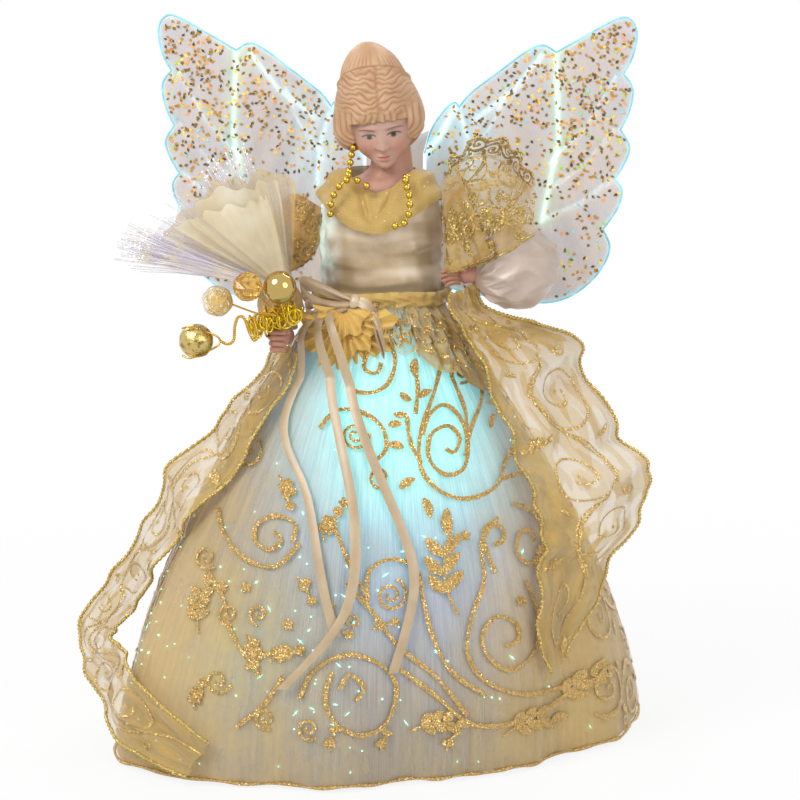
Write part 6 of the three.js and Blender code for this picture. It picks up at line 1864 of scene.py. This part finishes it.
def make_left_hand(look):
    """The hand held down in front, fingers together and bent over."""
    low, high = box_mm("left_hand")
    wrist = vec(high[0] + 0.5, (low[1] + high[1]) / 2, mix(low[2], high[2], 0.62))
    knuckles = vec(mix(low[0], high[0], 0.48), wrist[1] - 1.0, mix(low[2], high[2], 0.60))
    parts = [palm(wrist, knuckles, 0.4, (3.2, 3.9), 0.15, 0.25)]
    for k, (reach, drop) in enumerate(((0.96, -0.6), (1.0, -0.2), (0.92, 0.6), (0.78, 1.4))):
        up = 2.6 - 1.75 * k
        root = knuckles + vec(0.6, -0.6 + 0.25 * k, up)
        tip = vec(mix(knuckles[0], low[0] + 0.6, reach), knuckles[1] - 0.6 + 0.9 * k,
                  knuckles[2] + up * 0.75 - 1.6 - drop)
        parts.append(finger(root, mix(root, tip, 0.5) + vec(0, -1.2, 0.9), tip, 1.25))
    thumb = knuckles + vec(3.0, -2.4, 2.6)
    parts.append(finger(thumb, thumb + vec(-3, -1.6, 1.2), thumb + vec(-6.2, -2.2, 0.4), 1.35))
    make_hand("left", parts, look, 0.15)


def make_right_hand(look):
    """The hand closed round the stem of the bouquet."""
    low, high = box_mm("right_hand")
    middle = (low + high) / 2
    back = vec(middle[0] + 0.5, high[1] - 0.5, middle[2] + 0.5)
    front = vec(middle[0] - 0.5, mix(low[1], high[1], 0.35), middle[2])
    parts = [palm(back, front, 0.6, (4.0, 4.0), 0.2, 0.3)]
    for k in range(4):
        up = middle[2] + 4.0 - 2.45 * k
        root = vec(middle[0] - 4.2 + 0.35 * k, mix(low[1], high[1], 0.42), up - 0.5)
        bend = vec(middle[0] - 1.8 + 0.2 * k, low[1] - 0.2, up + 0.4)
        parts.append(finger(root, bend, vec(middle[0] + 4.3 - 0.3 * k, mix(low[1], high[1], 0.15), up - 0.2), 1.4))
    thumb = vec(middle[0] + 3.6, mix(low[1], high[1], 0.3), high[2] - 3)
    parts.append(finger(thumb, thumb + vec(-1.8, -3.4, 2.0), thumb + vec(-5.4, -4.2, 2.2), 1.5))
    make_hand("right", parts, look, 0.25)


def make_figure():
    look = bisque_look()
    make_head(look)
    make_neck(look)
    make_left_hand(look)
    make_right_hand(look)


# The moulded base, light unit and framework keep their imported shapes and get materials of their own
def patterned(look, pattern, dark, light, bumps, **inputs):
    """Sets a look that goes from a dark to a light colour by a pattern, over bumps of (height, depth, strength)."""
    return look.set(Base_Color=look.blend(pattern, paint(*dark), paint(*light)), Normal=look.rough(*bumps), **inputs)


def fibre_look():
    look = Look("fibre_bundle")
    streaks = look.noise(look.place((1, 1, 0.06)), 0.7, 3.0)
    return patterned(look, streaks, (190, 206, 210), (236, 244, 246), (streaks, 0.3, 0.7), Roughness=0.22, Alpha=0.85,
                     Emission_Color=paint(150, 236, 240), Emission_Strength=look.share(streaks, 0.4, 0.7, 0, 0.25))


def wood_look():
    look = Look("sanded_wood")
    spot = look.place((1, 1, 0.1))
    rings = look.add("TexWave", {"Vector": spot, "Scale": 0.6, "Distortion": 6.0, "Detail": 3.0}, wave_type="RINGS")
    return patterned(look, rings, (170, 132, 84), (206, 172, 122), (look.noise(spot, 0.5, 3.0), 0.05, 0.5),
                     Roughness=0.62)


def foam_look():
    look = Look("closed_foam")
    bubbles = look.cells(look.place(), 0.8, "Distance")
    return patterned(look, bubbles, (226, 224, 216), (240, 238, 232), (bubbles, 0.2, 0.6), Roughness=0.85)


def lens_look():
    look = Look("lamp_lens")
    swirl = look.noise(look.place(), 1.5, 2.0)
    return look.set(Base_Color=look.blend(swirl, paint(196, 236, 240), paint(228, 250, 250)), Roughness=0.08,
                    Transmission_Weight=0.6, Emission_Color=paint(150, 244, 246), Emission_Strength=0.7)


def board_look():
    look = Look("solder_mask")
    tracks = look.share(look.add("TexWave", {"Vector": look.place(), "Scale": 0.35, "Distortion": 2.0}), 0.45, 0.55)
    return patterned(look, tracks, (28, 92, 58), (38, 112, 70), (tracks, 0.05, 0.6), Roughness=0.35)


def cell_look():
    look = Look("cell_jacket")
    band = look.share(look.add("TexNoise", {"Vector": look.place(), "Scale": 0.05}), 0.48, 0.52)
    return patterned(look, band, (56, 66, 84), (120, 128, 138), (look.math("SINE", look.axis(0)), 0.01, 0.2),
                     Metallic=0.5, Roughness=0.32)


def dress_the_rest():
    """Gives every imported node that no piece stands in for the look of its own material."""
    plastic = plastic_look("moulded_plastic", (228, 222, 208), 0.42, 0.04)
    rules = [  # words in a node's name, and its look
        (("screw", "spring", "strip"), metal_look("drawn_steel", (186, 188, 190), 0.24, (0.6, 0.02))),
        (("arm_wire",), plastic_look("wound_tape", (226, 212, 186), 0.6)),
        (("ferrule",), metal_look("turned_metal", (204, 206, 208), 0.3)),
        (("battery_cell",), cell_look()),
        (("lamp_board",), board_look()),
        (("twin_lead",), plastic_look("lead_sheath", (218, 212, 198), 0.55)),
        (("wing_lamp", "lamp_1", "lamp_2", "lamp_3"), lens_look()),
        (("light_fibres",), fibre_look()),
        (("dowel", "bouquet_stem"), wood_look()),
        (("torso_core",), foam_look()),
    ]
    for name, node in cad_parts.items():
        if node.hide_render or name == "wing_tab":
            continue
        found = [look for words, look in rules if any(word in name for word in words)]
        dress(found[0] if found else plastic, name)


make_camera()
make_studio()
bpy.context.scene.view_settings.view_transform = "Standard"
make_gown()
make_scrolls()
make_glints()
make_wings()
make_torso()
make_sleeves()
make_figure()
make_drapes()
make_bouquet()
dress_the_rest()
